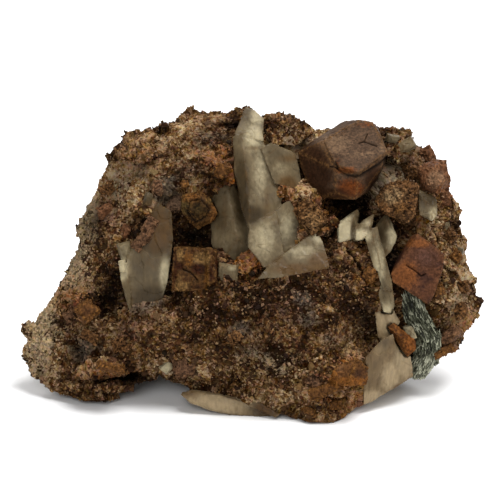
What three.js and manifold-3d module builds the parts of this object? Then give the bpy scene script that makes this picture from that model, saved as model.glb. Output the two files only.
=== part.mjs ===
// A hand specimen of grossular-andradite garnet: brown massive garnet with dodecahedral crystals,
// broken calcite blades and a spray of green amphibole, lying on its broken underside.
// Millimetres. Every piece is described in the frame of the display face: x runs to the right,
// z up the face, and "out" stands out of the face towards the viewer (out is -y). The whole
// specimen then leans back by leanDegrees, so that +Z is up and the underside lies on z = 0.
import * as THREE from "three";
import { ConvexGeometry } from "three/addons/geometries/ConvexGeometry.js";
import { SimplexNoise } from "three/addons/math/SimplexNoise.js";
import { mergeVertices } from "three/addons/utils/BufferGeometryUtils.js";
import Module from "manifold-3d";

const wasm = await Module();
wasm.setup();

// Driving dimensions
const leanDegrees = 20;
const heightOfFaceOrigin = 24.1;
const clearance = 0.3;
const bodyDetail = 11;
const frontShare = 0.62;
const rimRoundness = [0.72, 0.56];
const facetSharpness = 2.2;
const lumpHeight = [0.8, 1.3];
const lumpLength = 5.5;
const studCount = 28;
const studWidth = [1.9, 3.7];
const studSunk = 0.14;
const needleCount = 16;
const needleWidth = 1.1;

// The rim seen square to the display face: [x, z, out]
const rim = [
  [44.2, -6.5, -2], [44.2, -9.4, -2], [41.2, -12.5, -3], [39.9, -15.8, -4], [36.8, -16.9, -4],
  [34.5, -18.6, -4], [31.4, -21, -4], [27.6, -21.9, -3], [22.4, -25.8, 3.2], [19.1, -28.3, 8.2],
  [15.2, -30.4, 13], [11.7, -30.1, 12.8], [7.5, -28.9, 10.6], [3.6, -26.9, 8], [-2.1, -25.2, 5.6],
  [-7.9, -24.1, 2.4], [-12.7, -23.4, 0.4], [-16.6, -22, -1], [-19.8, -20.4, -2], [-22.3, -21.8, -1],
  [-25, -24.7, 1], [-29.1, -25.7, 2.4], [-32, -26, 2.2], [-36.2, -24.9, 1], [-41.2, -22.9, -1],
  [-43.9, -19.6, -3], [-44.3, -16.2, -3], [-42.6, -10.8, -3], [-38.1, -6.5, -2], [-35.3, -0.8, -2],
  [-33.2, 5, -2], [-31.2, 11.6, -2], [-27.6, 18.4, -2], [-25.5, 24.4, -3], [-24.2, 25.6, -3],
  [-20.4, 26.2, -3], [-17.5, 27.8, -3], [-13.7, 29.2, -4], [-8.5, 30, -4], [-0.6, 30.2, -4],
  [2.7, 28.4, -4], [7.5, 28.3, -4], [11.4, 26, -4], [17, 26.9, -3], [22, 26.6, -2], [29.1, 26.1, -4],
  [32.5, 23.9, -4], [35.2, 20.9, -4], [38.2, 17.2, -4], [38.2, 13.2, -4], [40.2, 11.6, -4],
  [40.7, 6, -4], [42, 0.8, -3],
];

// The broken faces of the front: [x, z, out, slope of out along x, slope along z]
const frontFaces = [
  [-36, -18, 6, 0.5, 0.15], [-36, -8, 3.4, 0.85, 0], [-31, 4, 4.2, 0.9, -0.05],
  [-26.5, 16, 4.6, 0.7, -0.2], [-17.5, 21.5, 6.5, 0.15, -0.55], [-8, 26, 5.6, 0, -0.75],
  [-10.5, 18.6, 9.6, 0.05, -0.3], [-20.5, 8, 8, 0.25, -0.1], [-19.5, -2, 7.4, 0.1, 0],
  [-28, -3, 8.2, 0.5, 0.1], [-29, -14, 10, 0.35, 0.15], [-20, -14.5, 12.2, 0.2, 0.2],
  [-10, -12.3, 15.2, 0.1, 0.25], [1.5, -14.5, 16, 0, 0.3], [13, -12.5, 16.4, -0.1, 0.25],
  [9.5, -5, 17, -0.05, -0.1], [-7, -7, 15.2, 0.1, -0.1], [-10, -22, 10, 0.15, 0.75],
  [5, -24, 12.2, 0, 0.7], [16, -24, 13.6, -0.3, 0.45], [0, 13, 5.6, 0, -0.15],
  [1.5, 2.5, 6.4, 0, 0], [-10, 8, 6.2, 0.1, -0.1], [11.6, 9.2, 10.6, 0, -0.25],
  [19, 11, 4, 0, 0], [27, 13.5, 9.4, -0.3, -0.2], [18.5, 0, 13.6, -0.35, 0.05],
  [20.5, -8.5, 13.4, -0.6, 0.1], [26.5, -16, 6.4, -0.6, 0.3], [30, -9, 6, -0.6, 0.1],
  [36.5, -12, 5, -0.6, 0.2], [40, -3, 3.2, -0.9, 0], [37, 6.5, 5, -0.6, -0.1],
  [31, 3, 5, -0.4, 0], [33, 15, 4.6, -0.6, -0.4], [28, 22, 4.4, -0.3, -0.55],
  [11.5, 23.5, 6, 0, -0.55], [4.5, 26, 5, 0, -0.7],
];

// The broken faces of the back: [x, z, distance behind the face's own plane, slopes of that distance]
const backFaces = [
  [-36, -10, 10, 0.6, 0.1], [-28, 10, 14, 0.45, -0.25], [-15, 4, 22, 0.12, -0.1],
  [-17, 19, 15, 0.15, -0.75], [-2, 20, 18, 0.05, -0.7], [2, 7, 25.5, 0.03, -0.2],
  [6, -8, 26.5, -0.02, 0.06], [-8, -17, 25.5, 0.2, 0.12], [15, 19, 16.5, -0.15, -0.6],
  [20, 4, 21, -0.3, -0.05], [33, 10, 12, -0.7, -0.25], [35, -8, 11, -0.75, 0.15],
  [20, -14, 24, -0.35, 0.15], [-24, -6, 17, 0.35, 0.15],
];

// Hollows broken out of the front: [x, z, half width, half height, depth]
const pits = [
  [18.6, 10.2, 5.2, 2.3, 4.5], [28.8, 7.6, 2.4, 1.8, 3.6], [-28.4, -7.4, 1.8, 2.8, 3.4],
  [-3.2, 26.8, 2.2, 1.6, 2.6], [24.2, 13.8, 1.8, 2.4, 3], [36, 9.4, 2.6, 1.2, 2.4],
  [-17.6, 6.2, 1.4, 3.2, 2], [31.6, -13, 1.6, 3, 2.4], [-33.4, -15.4, 1.6, 1.3, 1.8],
  [22.4, -12, 2.2, 3.4, 1.6],
];

// The zones of the face that hold no massive garnet, so no studs grow there: [x, z, half width, half height]
const bareZones = [
  [0.5, 11, 11, 13], [-19.5, 1, 6.5, 12], [24, 4, 5, 8], [27, -15, 7, 11], [19.5, 20, 10, 10],
  [32, 0, 7, 8], [13, 5, 5, 4],
];

// Blocks of garnet that belong to the mass, each by its outline on the face as for a blade
const chunks = [
  { outline: [[6.8, 13.9], [9.6, 15.2], [13, 12.9], [16.2, 8.4], [14.6, 6.2], [11.4, 7.4], [9.6, 10.6]],
    out: 10.8, slope: [0.05, -0.3], thickness: 5, crest: [[9.6, 12.6, 12], [13, 8.8, 12.8]] },
  { outline: [[3.8, 17.4], [5.2, 18], [7.8, 15.6], [7.6, 13.4], [5.2, 13.2]],
    out: 9.4, slope: [0, -0.2], thickness: 4 },
  { outline: [[-3, 1.4], [-0.2, 3.3], [1.8, 1.4], [1.2, -1.4], [-0.8, -1.9], [-3, -1.2]],
    out: 12.4, slope: [0.1, -0.3], thickness: 5 },
  { outline: [[-21.6, 13.4], [-18.8, 14.8], [-17, 11.6], [-18.8, 7.4], [-21.4, 3.2], [-22.8, 6.6]],
    out: 8.9, slope: [0.25, 0], thickness: 4, crest: [[-20.4, 8.4, 9.8]] },
  { outline: [[-33.8, -5.4], [-30.4, -4.4], [-29.4, -6.4], [-29.6, -10.6], [-33, -10.4], [-34.2, -7.6]],
    out: 8.3, slope: [0.35, 0], thickness: 5, crest: [[-31.2, -7.4, 9.7]] },
  { outline: [[34.8, -14], [39.4, -12.5], [40.4, -13.4], [40, -16.2], [37.2, -17.6], [35, -18.4]],
    out: 1.8, slope: [-0.3, 0.1], thickness: 5, crest: [[37, -15.4, 3.2]] },
  { outline: [[35.2, -3], [38.8, -2.4], [40.4, -5.2], [38.2, -7.8], [35.4, -7]],
    out: 5.2, slope: [-0.6, 0], thickness: 5, crest: [[36.8, -4.8, 6.6]] },
  { outline: [[-23.8, 25.6], [-19.4, 26.2], [-17.4, 21.6], [-21.6, 19.4], [-25.6, 20.6]],
    out: 5, slope: [0.3, -0.7], thickness: 5, crest: [[-21.4, 23, 7]] },
  { outline: [[-9.8, 21.6], [-4.2, 20.4], [-3.4, 15.4], [-6.4, 16.4], [-10.6, 18.4]],
    out: 9.8, slope: [0, -0.1], thickness: 5, crest: [[-6.4, 18.8, 11]] },
  { outline: [[2.9, 29], [9, 28.4], [12.6, 26], [8.4, 22.8], [3.4, 24.2]],
    out: 5.4, slope: [0, -0.55], thickness: 5, crest: [[8.6, 25.8, 7.2]] },
  { outline: [[25.6, 27], [30.4, 26.1], [31.6, 22.2], [28, 19.4], [26.4, 21.6]],
    out: 5.4, slope: [-0.3, -0.45], thickness: 5, crest: [[28.4, 23.4, 7]] },
  { outline: [[-33.4, -19.2], [-26.6, -17.4], [-23.6, -18.6], [-26, -20.8], [-33.2, -21.4]],
    out: 9.4, slope: [0.2, 0.3], thickness: 4, crest: [[-27.4, -19, 11]] },
];

// Large garnet crystal near the top, as the corners of its flat faces: [x, z, out]
const bigCrystal = [
  [13.2, 23.7, 11.1], [18.8, 27, 8], [20.9, 28, 7.2], [23, 27.6, 7.5], [24.2, 26, 8.8],
  [26, 21.6, 12], [20.3, 17, 15.4], [16, 18.4, 14.7], [8.9, 21.8, 8], [9.7, 18.5, 8.2],
  [11.1, 15.5, 8.8], [13.5, 13, 10.3], [16, 14, 13.1], [20, 12.7, 12.7], [21.5, 14.2, 12.1],
  [24.6, 18.3, 11.7], [18, 28, 2.5], [24, 27.2, 2.5], [9.8, 22.6, 1], [10.6, 15, 0.5],
  [17.5, 12.8, 2], [23.6, 15, 2], [26.2, 20.8, 2.5],
];
// The last growth layer on its top face, which reaches over the front edge as a thin lip
const bigCrystalLayer = [
  [13.9, 23.4, 11], [18.9, 26.6, 8.3], [21, 27.5, 7.6], [22.9, 27.1, 7.9], [24, 25.6, 9.1],
  [25.8, 21.5, 12.2], [20.4, 17.4, 15.6], [16.1, 18.9, 14.8], [14.8, 21.4, 12.7],
];
const layerThickness = 0.6;

// Its flat front face, then the narrow face along its upper left, then what is set in the rock
const rightCrystal = [
  [31.8, 6.2, 8.6], [37, 2.2, 8.9], [36.6, -0.6, 9.2], [34.9, -5.4, 9.9], [33.8, -7.3, 10.1],
  [31.8, -6.1, 10.1], [27, -3, 9.9], [26.6, -1.7, 9.8], [28.3, 0.1, 9.6], [29.5, 2, 9.3],
  [31.5, 4.8, 8.9], [28, 1.3, 7], [30.6, 5.7, 6.8], [27.6, -1.6, 0], [31.8, 6.4, 0],
  [36.8, 2.2, 0], [34.6, -6.6, 1], [28, 1.2, 1],
];

const amberCrystal = [
  [-14.7, 3.8, 10.9], [-8.6, 3.4, 12.2], [-6.9, 2.8, 12], [-6.2, 0.8, 12.2], [-6.3, -4.5, 13.4],
  [-8.2, 0.4, 13.3], [-8.2, -4.6, 14.3], [-15.2, -4.8, 13.6], [-14.9, 1, 12.3], [-14.2, 3.4, 3],
  [-7, 3.2, 3], [-7, -4, 4], [-14.8, -4, 4],
];

// The zoned crystal is broken across: a flat table stands in the middle of its sloping rim.
const zonedCrystal = {
  outline: [[-13, 13.6], [-9.8, 14.5], [-7.8, 13], [-6.3, 10], [-7.3, 8.6], [-10.1, 7.1], [-12.1, 8.6], [-13.5, 11.1]],
  middle: [-10.1, 10.8], out: 10.2, table: 0.58, rise: 1.5, root: 0.8, depth: 6,
};

const lensCrystal = [
  [26, -11.5, 9.6], [27.3, -10.8, 9.4], [31.4, -14, 8.6], [31.5, -15.8, 8.6], [29.8, -17.4, 8.8],
  [28.6, -13.8, 10.6], [26.6, -12, 4], [31, -15, 3], [29.6, -16.8, 3],
];

const chunkCrystal = [
  [25.6, 15.4, 11.4], [30.2, 16.6, 10], [31.9, 15, 9.8], [31.2, 10, 10.6], [29.4, 7.8, 10.4],
  [25.4, 10.4, 12], [23.6, 12.4, 10.6], [28.4, 12.2, 12.8], [25.4, 15, 3], [31.2, 15, 3],
  [30.8, 9.4, 3], [25.4, 10.6, 3],
];

const rustCrystal = [
  [14.4, -22, 15.2], [16.2, -18.6, 16.4], [20.2, -17.4, 15], [22.4, -19.4, 13], [22, -22.6, 13],
  [18.2, -22.8, 16.6], [15.6, -20.4, 17.2], [16, -21, 8], [20.6, -18.6, 8], [20.8, -22, 8],
];

// A rhombic dodecahedron: [x, z, out, width across flats, three turns in degrees]
const shoulderCrystal = [35.1, 17.2, 4.6, 5.6, 20, 35, 12];

// A calcite blade: its outline on the face, how far the middle stands out, the slopes of its
// front along x and z, its thickness, and a crest [x, z, out] along its front if it has one.
const middleBlades = [
  { outline: [[-3.5, 24.8], [0.2, 26.2], [2.4, 23.6], [3.9, 19.6], [5.7, 14.8], [6, 12.6], [5, 10.2], [-0.6, 7.1], [-1.8, 10.8], [-2.6, 14.8], [-3.3, 18.3]],
    out: 9.4, slope: [-0.22, -0.16], thickness: 7, crest: [[-1.7, 24.4, 10], [-0.2, 11.6, 12.3]] },
  { outline: [[-0.4, 7.7], [4.8, 10.7], [5.1, 7.5], [6.4, 1.7], [4.3, 0.2], [2.4, -0.3], [0.2, 2.9], [-0.7, 3.7], [-0.6, 5.7]],
    out: 12.4, slope: [-0.05, -0.28], thickness: 7 },
  { outline: [[1.8, 22.6], [3.8, 23.7], [8.5, 21.7], [9.3, 18.3], [9.9, 15.4], [8.1, 14.8], [4.4, 15.8], [3, 19.2]],
    out: 8.9, slope: [-0.2, -0.14], thickness: 6 },
  { outline: [[4.6, 10.4], [6.4, 12.3], [7.6, 12.6], [8.4, 10.9], [9.9, 5.2], [5.8, 2.2], [4.4, 7.4]],
    out: 10.4, slope: [-0.1, -0.16], thickness: 6 },
  { outline: [[1.2, -2.4], [3.2, 0.1], [6.4, 2.3], [12.6, 7], [13.5, 5], [14.6, 1.7], [14.9, -0.4], [9, -1.6], [5.8, -2.2]],
    out: 14.8, slope: [0.02, -0.42], thickness: 8 },
  { outline: [[-7.1, 16.9], [-3, 15.4], [-1.4, 11], [-0.3, 7.8], [-0.4, 3.4], [-2.8, 0], [-6.2, 0.4], [-7.7, 4.4], [-7.7, 12.8]],
    out: 7.9, slope: [0.1, -0.12], thickness: 6, crest: [[-4.4, 14.6, 8.4], [-2.6, 5, 10.4]] },
  { outline: [[-6, 0.9], [-3.2, 0.3], [-2.3, -2.4], [-3.6, -5], [-6, -5]],
    out: 11.4, slope: [0.1, -0.3], thickness: 6 },
  { outline: [[-1.1, 30.4], [0.7, 29.8], [2.4, 28.2], [2.4, 23.8], [0.6, 24.6], [-3.2, 25.2]],
    out: 7.9, slope: [-0.1, -0.4], thickness: 6 },
];

const leftSlab = [
  { outline: [[-23.8, 1.6], [-18.4, 11.4], [-17.8, 12.3], [-15.1, 10.4], [-14.8, 5.1], [-15.6, 0.1], [-15.9, -3.3], [-16.9, -6.3], [-20, -8.4], [-22.6, -9], [-23.8, -2.4]],
    out: 9.6, slope: [0.1, 0.02], thickness: 5.5 },
  { outline: [[-24.9, 1.4], [-23.8, 0.6], [-23.6, -2.6], [-22.4, -9.2], [-23.2, -9], [-24.9, -2.2]],
    out: 9.9, slope: [-0.3, 0], thickness: 4 },
];

const rightBlades = [
  { outline: [[16.4, 8.1], [18.1, 9.5], [20.4, 11], [20.7, 10.2], [20.6, 8.7], [19.3, 4.9], [16.3, 4.1]],
    out: 10.4, slope: [-0.2, -0.1], thickness: 5,
    crest: [[16.6, 7.9, 12.2], [18.1, 9.2, 12], [19.1, 8.2, 12.8], [19.2, 5.1, 13.4], [16.5, 4.3, 13]] },
  { outline: [[19.6, 7.5], [21.1, 8.6], [23.4, 10], [23.2, 8.2], [22.7, 6.2], [21.2, 4.9], [19.4, 4.7]],
    out: 11, slope: [-0.1, -0.1], thickness: 5,
    crest: [[19.5, 5.9, 13.3], [21.8, 6.9, 13], [22.2, 6, 13.3], [21.1, 5.1, 13.7], [19.6, 4.9, 13.7]] },
  { outline: [[22.2, 7], [24, 7.6], [25.2, 1.7], [26.8, -2.6], [27, -4.8], [25.2, -4.6], [23.2, 0.7]],
    out: 11, slope: [-0.3, 0], thickness: 6, crest: [[23.4, 4.6, 12], [25.9, -3.6, 11.4]] },
  { outline: [[21.4, 6.2], [23, 7], [24.4, 1.6], [24.2, -1.2], [23.4, -0.6], [22.4, 3]],
    out: 12, slope: [-0.2, 0], thickness: 4 },
  { outline: [[25, 9.3], [25.9, 10.4], [27.2, 7.6], [27.8, 5.8], [27.6, 4.8], [26.6, 2.7], [25.6, 1.8], [24.6, 2.9], [24, 5.8], [23.8, 7.8]],
    out: 8.8, slope: [0.1, -0.1], thickness: 5, crest: [[25.9, 9, 9.7], [26.9, 6, 10.2], [26, 3.4, 10]] },
  { outline: [[24.8, -3], [27, -4.4], [27.4, -7.6], [26.6, -9], [25.2, -8.8], [24.2, -5.4]],
    out: 10, slope: [-0.4, 0.1], thickness: 5 },
];

const cornerMass = [
  { outline: [[21.6, -17.4], [24.8, -13.9], [27.6, -12.6], [30.4, -16.2], [31.2, -21.1], [28, -22.3], [22.8, -26.1], [21.4, -26.6]],
    out: 8.2, slope: [-0.75, 0.5], thickness: 11 },
  { outline: [[23.4, -8.6], [27, -7.8], [28.6, -10.6], [26.8, -13.6], [24.2, -13.8]],
    out: 8.4, slope: [-0.6, 0.1], thickness: 6 },
];

const rightChip = [
  { outline: [[32, 14.6], [35.4, 13.3], [35.7, 9.7], [34.6, 8.5], [32.1, 9.8]],
    out: 6.6, slope: [-0.3, -0.2], thickness: 5, crest: [[34.6, 10.6, 7.4]] },
];

const footSlab = [
  { outline: [[-13.4, -24.2], [-11.5, -23.6], [-9.2, -23.9], [-4, -24.8], [2, -26.1], [5.6, -28.2], [4.6, -28.9], [-0.4, -29.4], [-5.6, -28.8], [-9.2, -27.2], [-12.9, -25.7]],
    out: 7.6, slope: [0.26, -0.1], thickness: 9 },
];

// The green spray: the middle line its needles follow, [x, z, out, half width]
const sprayLine = [
  [30.2, -5.4, 6.6, 1.6], [31.6, -9.4, 6.2, 2.4], [34, -13.6, 4.4, 2.4], [33.6, -17.6, 2.6, 2.6],
  [31.8, -20.8, 0.8, 2],
];

// The slot broken out under the lip of the left lobe: corners [x, z, out]
const lipSlot = [
  [-31.6, -21.4, 17], [-25, -19.8, 17], [-19.4, -20.2, 17], [-19.6, -21.9, 17], [-25, -22.8, 17],
  [-30.8, -23.2, 17], [-29.4, -22.2, 0], [-23, -20.8, -3], [-20.6, -21.4, -2],
];

// The underside: where it is flat it carries the weight, elsewhere it is broken away.
// [x, distance behind the face's middle, height above the ground, slopes of that height]
const underFaces = [
  [-28, -8, -0.8, 0, 0], [14, -14, -0.8, 0, 0], [22, -2, -0.8, 0, 0], [6, 4, -0.8, 0, 0],
  [-8, 10, -0.8, 0, 0], [12, 11, -0.8, 0, 0], [-14, -6, 2.6, -0.06, 0.05], [-1, -11, 1.3, 0.05, -0.05],
  [-24, 6, 3.6, -0.2, 0.25], [20, 17, 2.4, 0.05, 0.4], [0, 20, 1.8, 0, 0.4],
  [32, 4, 3, 0.4, 0.1], [30, -10, 1.8, 0.3, -0.1], [-40, -4, 3, -0.5, 0.1],
];
const groundCells = [22, 14];

// A small seeded random source
function randomFrom(seed) {
  let s = seed;
  return () => {
    s = (s + 0x6d2b79f5) | 0;
    let t = Math.imul(s ^ (s >>> 15), 1 | s);
    t = (t + Math.imul(t ^ (t >>> 7), 61 | t)) ^ t;
    return ((t ^ (t >>> 14)) >>> 0) / 4294967296;
  };
}

const noise = new SimplexNoise({ random: randomFrom(7) });

// A closed three.js geometry as a solid
function solidOf(geometry) {
  const bare = geometry.index ? geometry.toNonIndexed() : geometry.clone();
  bare.deleteAttribute("normal");
  bare.deleteAttribute("uv");
  const merged = mergeVertices(bare, 1e-4);
  return new wasm.Manifold(
    new wasm.Mesh({
      numProp: 3,
      vertProperties: merged.attributes.position.array,
      triVerts: new Uint32Array(merged.index.array),
    }),
  );
}

// A solid as a flat-shaded three.js geometry
function geometryOf(solid) {
  const mesh = solid.getMesh();
  const indexed = new THREE.BufferGeometry();
  indexed.setAttribute("position", new THREE.BufferAttribute(mesh.vertProperties, 3));
  indexed.setIndex(new THREE.BufferAttribute(mesh.triVerts, 1));
  const flat = indexed.toNonIndexed();
  flat.computeVertexNormals();
  return flat;
}

// The largest body of a solid, without the slivers that a cut leaves
function mainBody(solid) {
  return solid.decompose().reduce((a, b) => (b.volume() > a.volume() ? b : a));
}

function join(solids) {
  return solids.reduce((a, b) => a.add(b));
}

const onFace = ([x, z, out]) => new THREE.Vector3(x, -out, z);

// A convex solid around points, grown outwards by a margin on every side
function hull(points, margin = 0) {
  const corners = [];
  for (const p of points) {
    if (margin === 0) corners.push(p);
    else
      for (const i of [-1, 1])
        for (const j of [-1, 1])
          for (const k of [-1, 1])
            corners.push(new THREE.Vector3(p.x + i * margin, p.y + j * margin, p.z + k * margin));
  }
  return solidOf(new ConvexGeometry(corners));
}

const crystal = (corners) => (margin) => hull(corners.map(onFace), margin);

// The top crystal is its main form with one thin growth layer standing on the top face.
function bigCrystalSolid(margin) {
  const layer = bigCrystalLayer.flatMap(([x, z, out]) => [
    onFace([x, z, out - 1]),
    onFace([x, z + 0.5 * layerThickness, out + 0.8 * layerThickness]),
  ]);
  return hull(bigCrystal.map(onFace), margin).add(hull(layer, margin));
}

function dodecahedronCorners([x, z, out, width, ...turns]) {
  const s = width / (2 * Math.SQRT2);
  const corners = [];
  for (const i of [-1, 1]) {
    corners.push([2 * i, 0, 0], [0, 2 * i, 0], [0, 0, 2 * i]);
    for (const j of [-1, 1]) for (const k of [-1, 1]) corners.push([i, j, k]);
  }
  const turn = new THREE.Euler(...turns.map(THREE.MathUtils.degToRad));
  const middle = onFace([x, z, out]);
  return corners.map((c) =>
    new THREE.Vector3(...c).multiplyScalar(s).applyEuler(turn).add(middle),
  );
}

const dodecahedron = (place) => (margin) => hull(dodecahedronCorners(place), margin);

function tableCrystalCorners({ outline, middle, out, table, rise, root, depth }) {
  const ring = (scale, height) =>
    outline.map(([x, z]) =>
      onFace([middle[0] + scale * (x - middle[0]), middle[1] + scale * (z - middle[1]), height]),
    );
  return [...ring(1, out), ...ring(table, out + rise), ...ring(root, out - depth)];
}

const tableCrystal = (shape) => (margin) => hull(tableCrystalCorners(shape), margin);

function bladeCorners({ outline, out, slope, thickness, crest = [] }) {
  const cx = outline.reduce((sum, p) => sum + p[0], 0) / outline.length;
  const cz = outline.reduce((sum, p) => sum + p[1], 0) / outline.length;
  const narrowing = 0.86;
  const corners = crest.map(onFace);
  for (const [x, z] of outline) {
    const front = out + slope[0] * (x - cx) + slope[1] * (z - cz);
    corners.push(onFace([x, z, front]));
    corners.push(
      onFace([cx + narrowing * (x - cx), cz + narrowing * (z - cz), front - thickness]),
    );
  }
  return corners;
}

const blades = (list) => (margin) => join(list.map((b) => hull(bladeCorners(b), margin)));

// A needle is a thin five-sided prism with blunt ends.
function needle(from, to, width) {
  const along = new THREE.Vector3().subVectors(to, from);
  const prism = new THREE.CylinderGeometry(0.3 * width, 0.5 * width, along.length(), 5);
  const turn = new THREE.Quaternion().setFromUnitVectors(
    new THREE.Vector3(0, 1, 0),
    along.clone().normalize(),
  );
  prism.applyQuaternion(turn);
  prism.translate(...from.clone().addScaledVector(along, 0.5).toArray());
  return prism;
}

// A place on the spray's middle line: t counts its corners, side is across it from -1 to 1.
function sprayPoint(t, side, lift) {
  const k = Math.min(Math.floor(t), sprayLine.length - 2);
  const [x, z, out, half] = sprayLine[k].map((v, j) => v + (t - k) * (sprayLine[k + 1][j] - v));
  return onFace([x + side * half, z, out + lift - 0.5 * half * side * side]);
}

// The spray's core follows its middle line, and its needles lie along the core's outside.
function spray(margin) {
  const core = [];
  for (let i = 0; i + 1 < sprayLine.length; i++) {
    const ends = [sprayLine[i], sprayLine[i + 1]].flatMap(([x, z, out, half]) =>
      [-1, 1].flatMap((side) => [
        onFace([x + side * half, z, out - 0.6]),
        onFace([x + 0.4 * side * half, z, out]),
        onFace([x + 0.7 * side * half, z, out - 5]),
      ]),
    );
    core.push(hull(ends, margin));
  }
  if (margin > 0) return join(core);
  const random = randomFrom(21);
  const needles = [];
  for (let i = 0; i < needleCount; i++) {
    const t = random() * (sprayLine.length - 1.8);
    const side = 2 * random() - 1;
    const from = sprayPoint(t, 0.85 * side, -0.1);
    const to = sprayPoint(t + 0.7 + 0.3 * random(), side, 0.1 + 0.6 * random());
    needles.push(solidOf(needle(from, to, needleWidth * (0.7 + 0.6 * random()))));
  }
  return join([...core, ...needles]);
}

// Where a ray from the middle of the face meets the rim: its distance and how far out it is there
function rimAlong(angle) {
  const dx = Math.cos(angle);
  const dz = Math.sin(angle);
  for (let i = 0; i < rim.length; i++) {
    const [ax, az, aOut] = rim[i];
    const [bx, bz, bOut] = rim[(i + 1) % rim.length];
    const ex = bx - ax;
    const ez = bz - az;
    const cross = dx * ez - dz * ex;
    const distance = (ax * ez - az * ex) / cross;
    const share = (ax * dz - az * dx) / cross;
    if (distance > 0 && share >= 0 && share <= 1)
      return { distance, out: aOut + share * (bOut - aOut) };
  }
  throw new Error("the rim has a gap");
}

// A surface made of broken faces: each point belongs to the face whose middle is nearest.
function brokenSurface(faces, x, z) {
  const distances = faces.map(([fx, fz]) => Math.hypot(x - fx, z - fz));
  const nearest = Math.min(...distances);
  let sum = 0;
  let weights = 0;
  faces.forEach(([fx, fz, height, slopeX, slopeZ], i) => {
    const weight = Math.exp(-facetSharpness * (distances[i] - nearest));
    sum += weight * (height + slopeX * (x - fx) + slopeZ * (z - fz));
    weights += weight;
  });
  return sum / weights;
}

function frontAt(x, z) {
  let out = brokenSurface(frontFaces, x, z);
  for (const [px, pz, halfWidth, halfHeight, depth] of pits)
    out -= depth * Math.exp(-(((x - px) / halfWidth) ** 2) - ((z - pz) / halfHeight) ** 2);
  return out;
}

// One point of the massive garnet's skin, for a direction from its middle
function skinPoint(direction) {
  const angle = Math.atan2(direction.z, direction.x);
  const polar = Math.acos(THREE.MathUtils.clamp(-direction.y, -1, 1));
  const frontEnd = Math.acos(1 - 2 * frontShare);
  const isFront = polar < frontEnd;
  const tilt = isFront
    ? (0.5 * Math.PI * polar) / frontEnd
    : Math.PI - (0.5 * Math.PI * (Math.PI - polar)) / (Math.PI - frontEnd);
  const edge = rimAlong(angle);
  const roundness = rimRoundness[isFront ? 0 : 1];
  const across = edge.distance * Math.sin(tilt) ** roundness;
  const rise = Math.abs(Math.cos(tilt)) ** roundness;
  const x = across * Math.cos(angle);
  const z = across * Math.sin(angle);
  const surface = isFront ? frontAt(x, z) : -brokenSurface(backFaces, x, z);
  return onFace([x, z, edge.out + (surface - edge.out) * rise]);
}

// Lumps push the skin in and out along the line from the middle.
function massiveGarnet() {
  const ball = mergeVertices(
    new THREE.IcosahedronGeometry(1, bodyDetail).deleteAttribute("normal").deleteAttribute("uv"),
    1e-4,
  );
  const position = ball.attributes.position;
  const middle = onFace([0, 0, -6]);
  for (let i = 0; i < position.count; i++) {
    const direction = new THREE.Vector3().fromBufferAttribute(position, i).normalize();
    const p = skinPoint(direction);
    const q = p.clone().divideScalar(lumpLength);
    const lump = noise.noise3d(q.x, q.y, q.z) + 0.5 * noise.noise3d(2.3 * q.x, 2.3 * q.y, 2.3 * q.z);
    const height = THREE.MathUtils.lerp(...lumpHeight, THREE.MathUtils.smoothstep(p.y, 0, 8));
    p.addScaledVector(p.clone().sub(middle).normalize(), height * lump);
    position.setXYZ(i, p.x, p.y, p.z);
  }
  return solidOf(ball);
}

const isBare = (x, z) =>
  bareZones.some(([bx, bz, halfWidth, halfHeight]) =>
    Math.hypot((x - bx) / halfWidth, (z - bz) / halfHeight) < 1);

// Small crystals that stand half out of the massive garnet, front and back
function studs() {
  const random = randomFrom(11);
  const made = [];
  while (made.length < studCount) {
    const direction = new THREE.Vector3(2 * random() - 1, 2 * random() - 1, 2 * random() - 1);
    const turns = [random(), random(), random()].map((r) => 360 * r);
    const width = THREE.MathUtils.lerp(studWidth[0], studWidth[1], random() ** 1.5);
    if (direction.length() > 1 || direction.length() < 0.2) continue;
    const p = skinPoint(direction.normalize());
    if (p.y < 0 && isBare(p.x, p.z)) continue;
    p.addScaledVector(direction, -studSunk * width);
    made.push(hull(dodecahedronCorners([p.x, p.z, -p.y, width, ...turns])));
  }
  return made;
}

// Everything below the underside
function belowUnderside() {
  const depth = 30;
  const block = new THREE.BoxGeometry(140, 100, depth, ...groundCells, 1);
  const position = block.attributes.position;
  for (let i = 0; i < position.count; i++) {
    const x = position.getX(i);
    const y = position.getY(i);
    const isTop = position.getZ(i) > 0;
    const height = isTop ? Math.max(0, brokenSurface(underFaces, x, y)) : -depth;
    position.setZ(i, height - heightOfFaceOrigin);
  }
  return solidOf(block.rotateX(THREE.MathUtils.degToRad(leanDegrees)));
}

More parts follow.
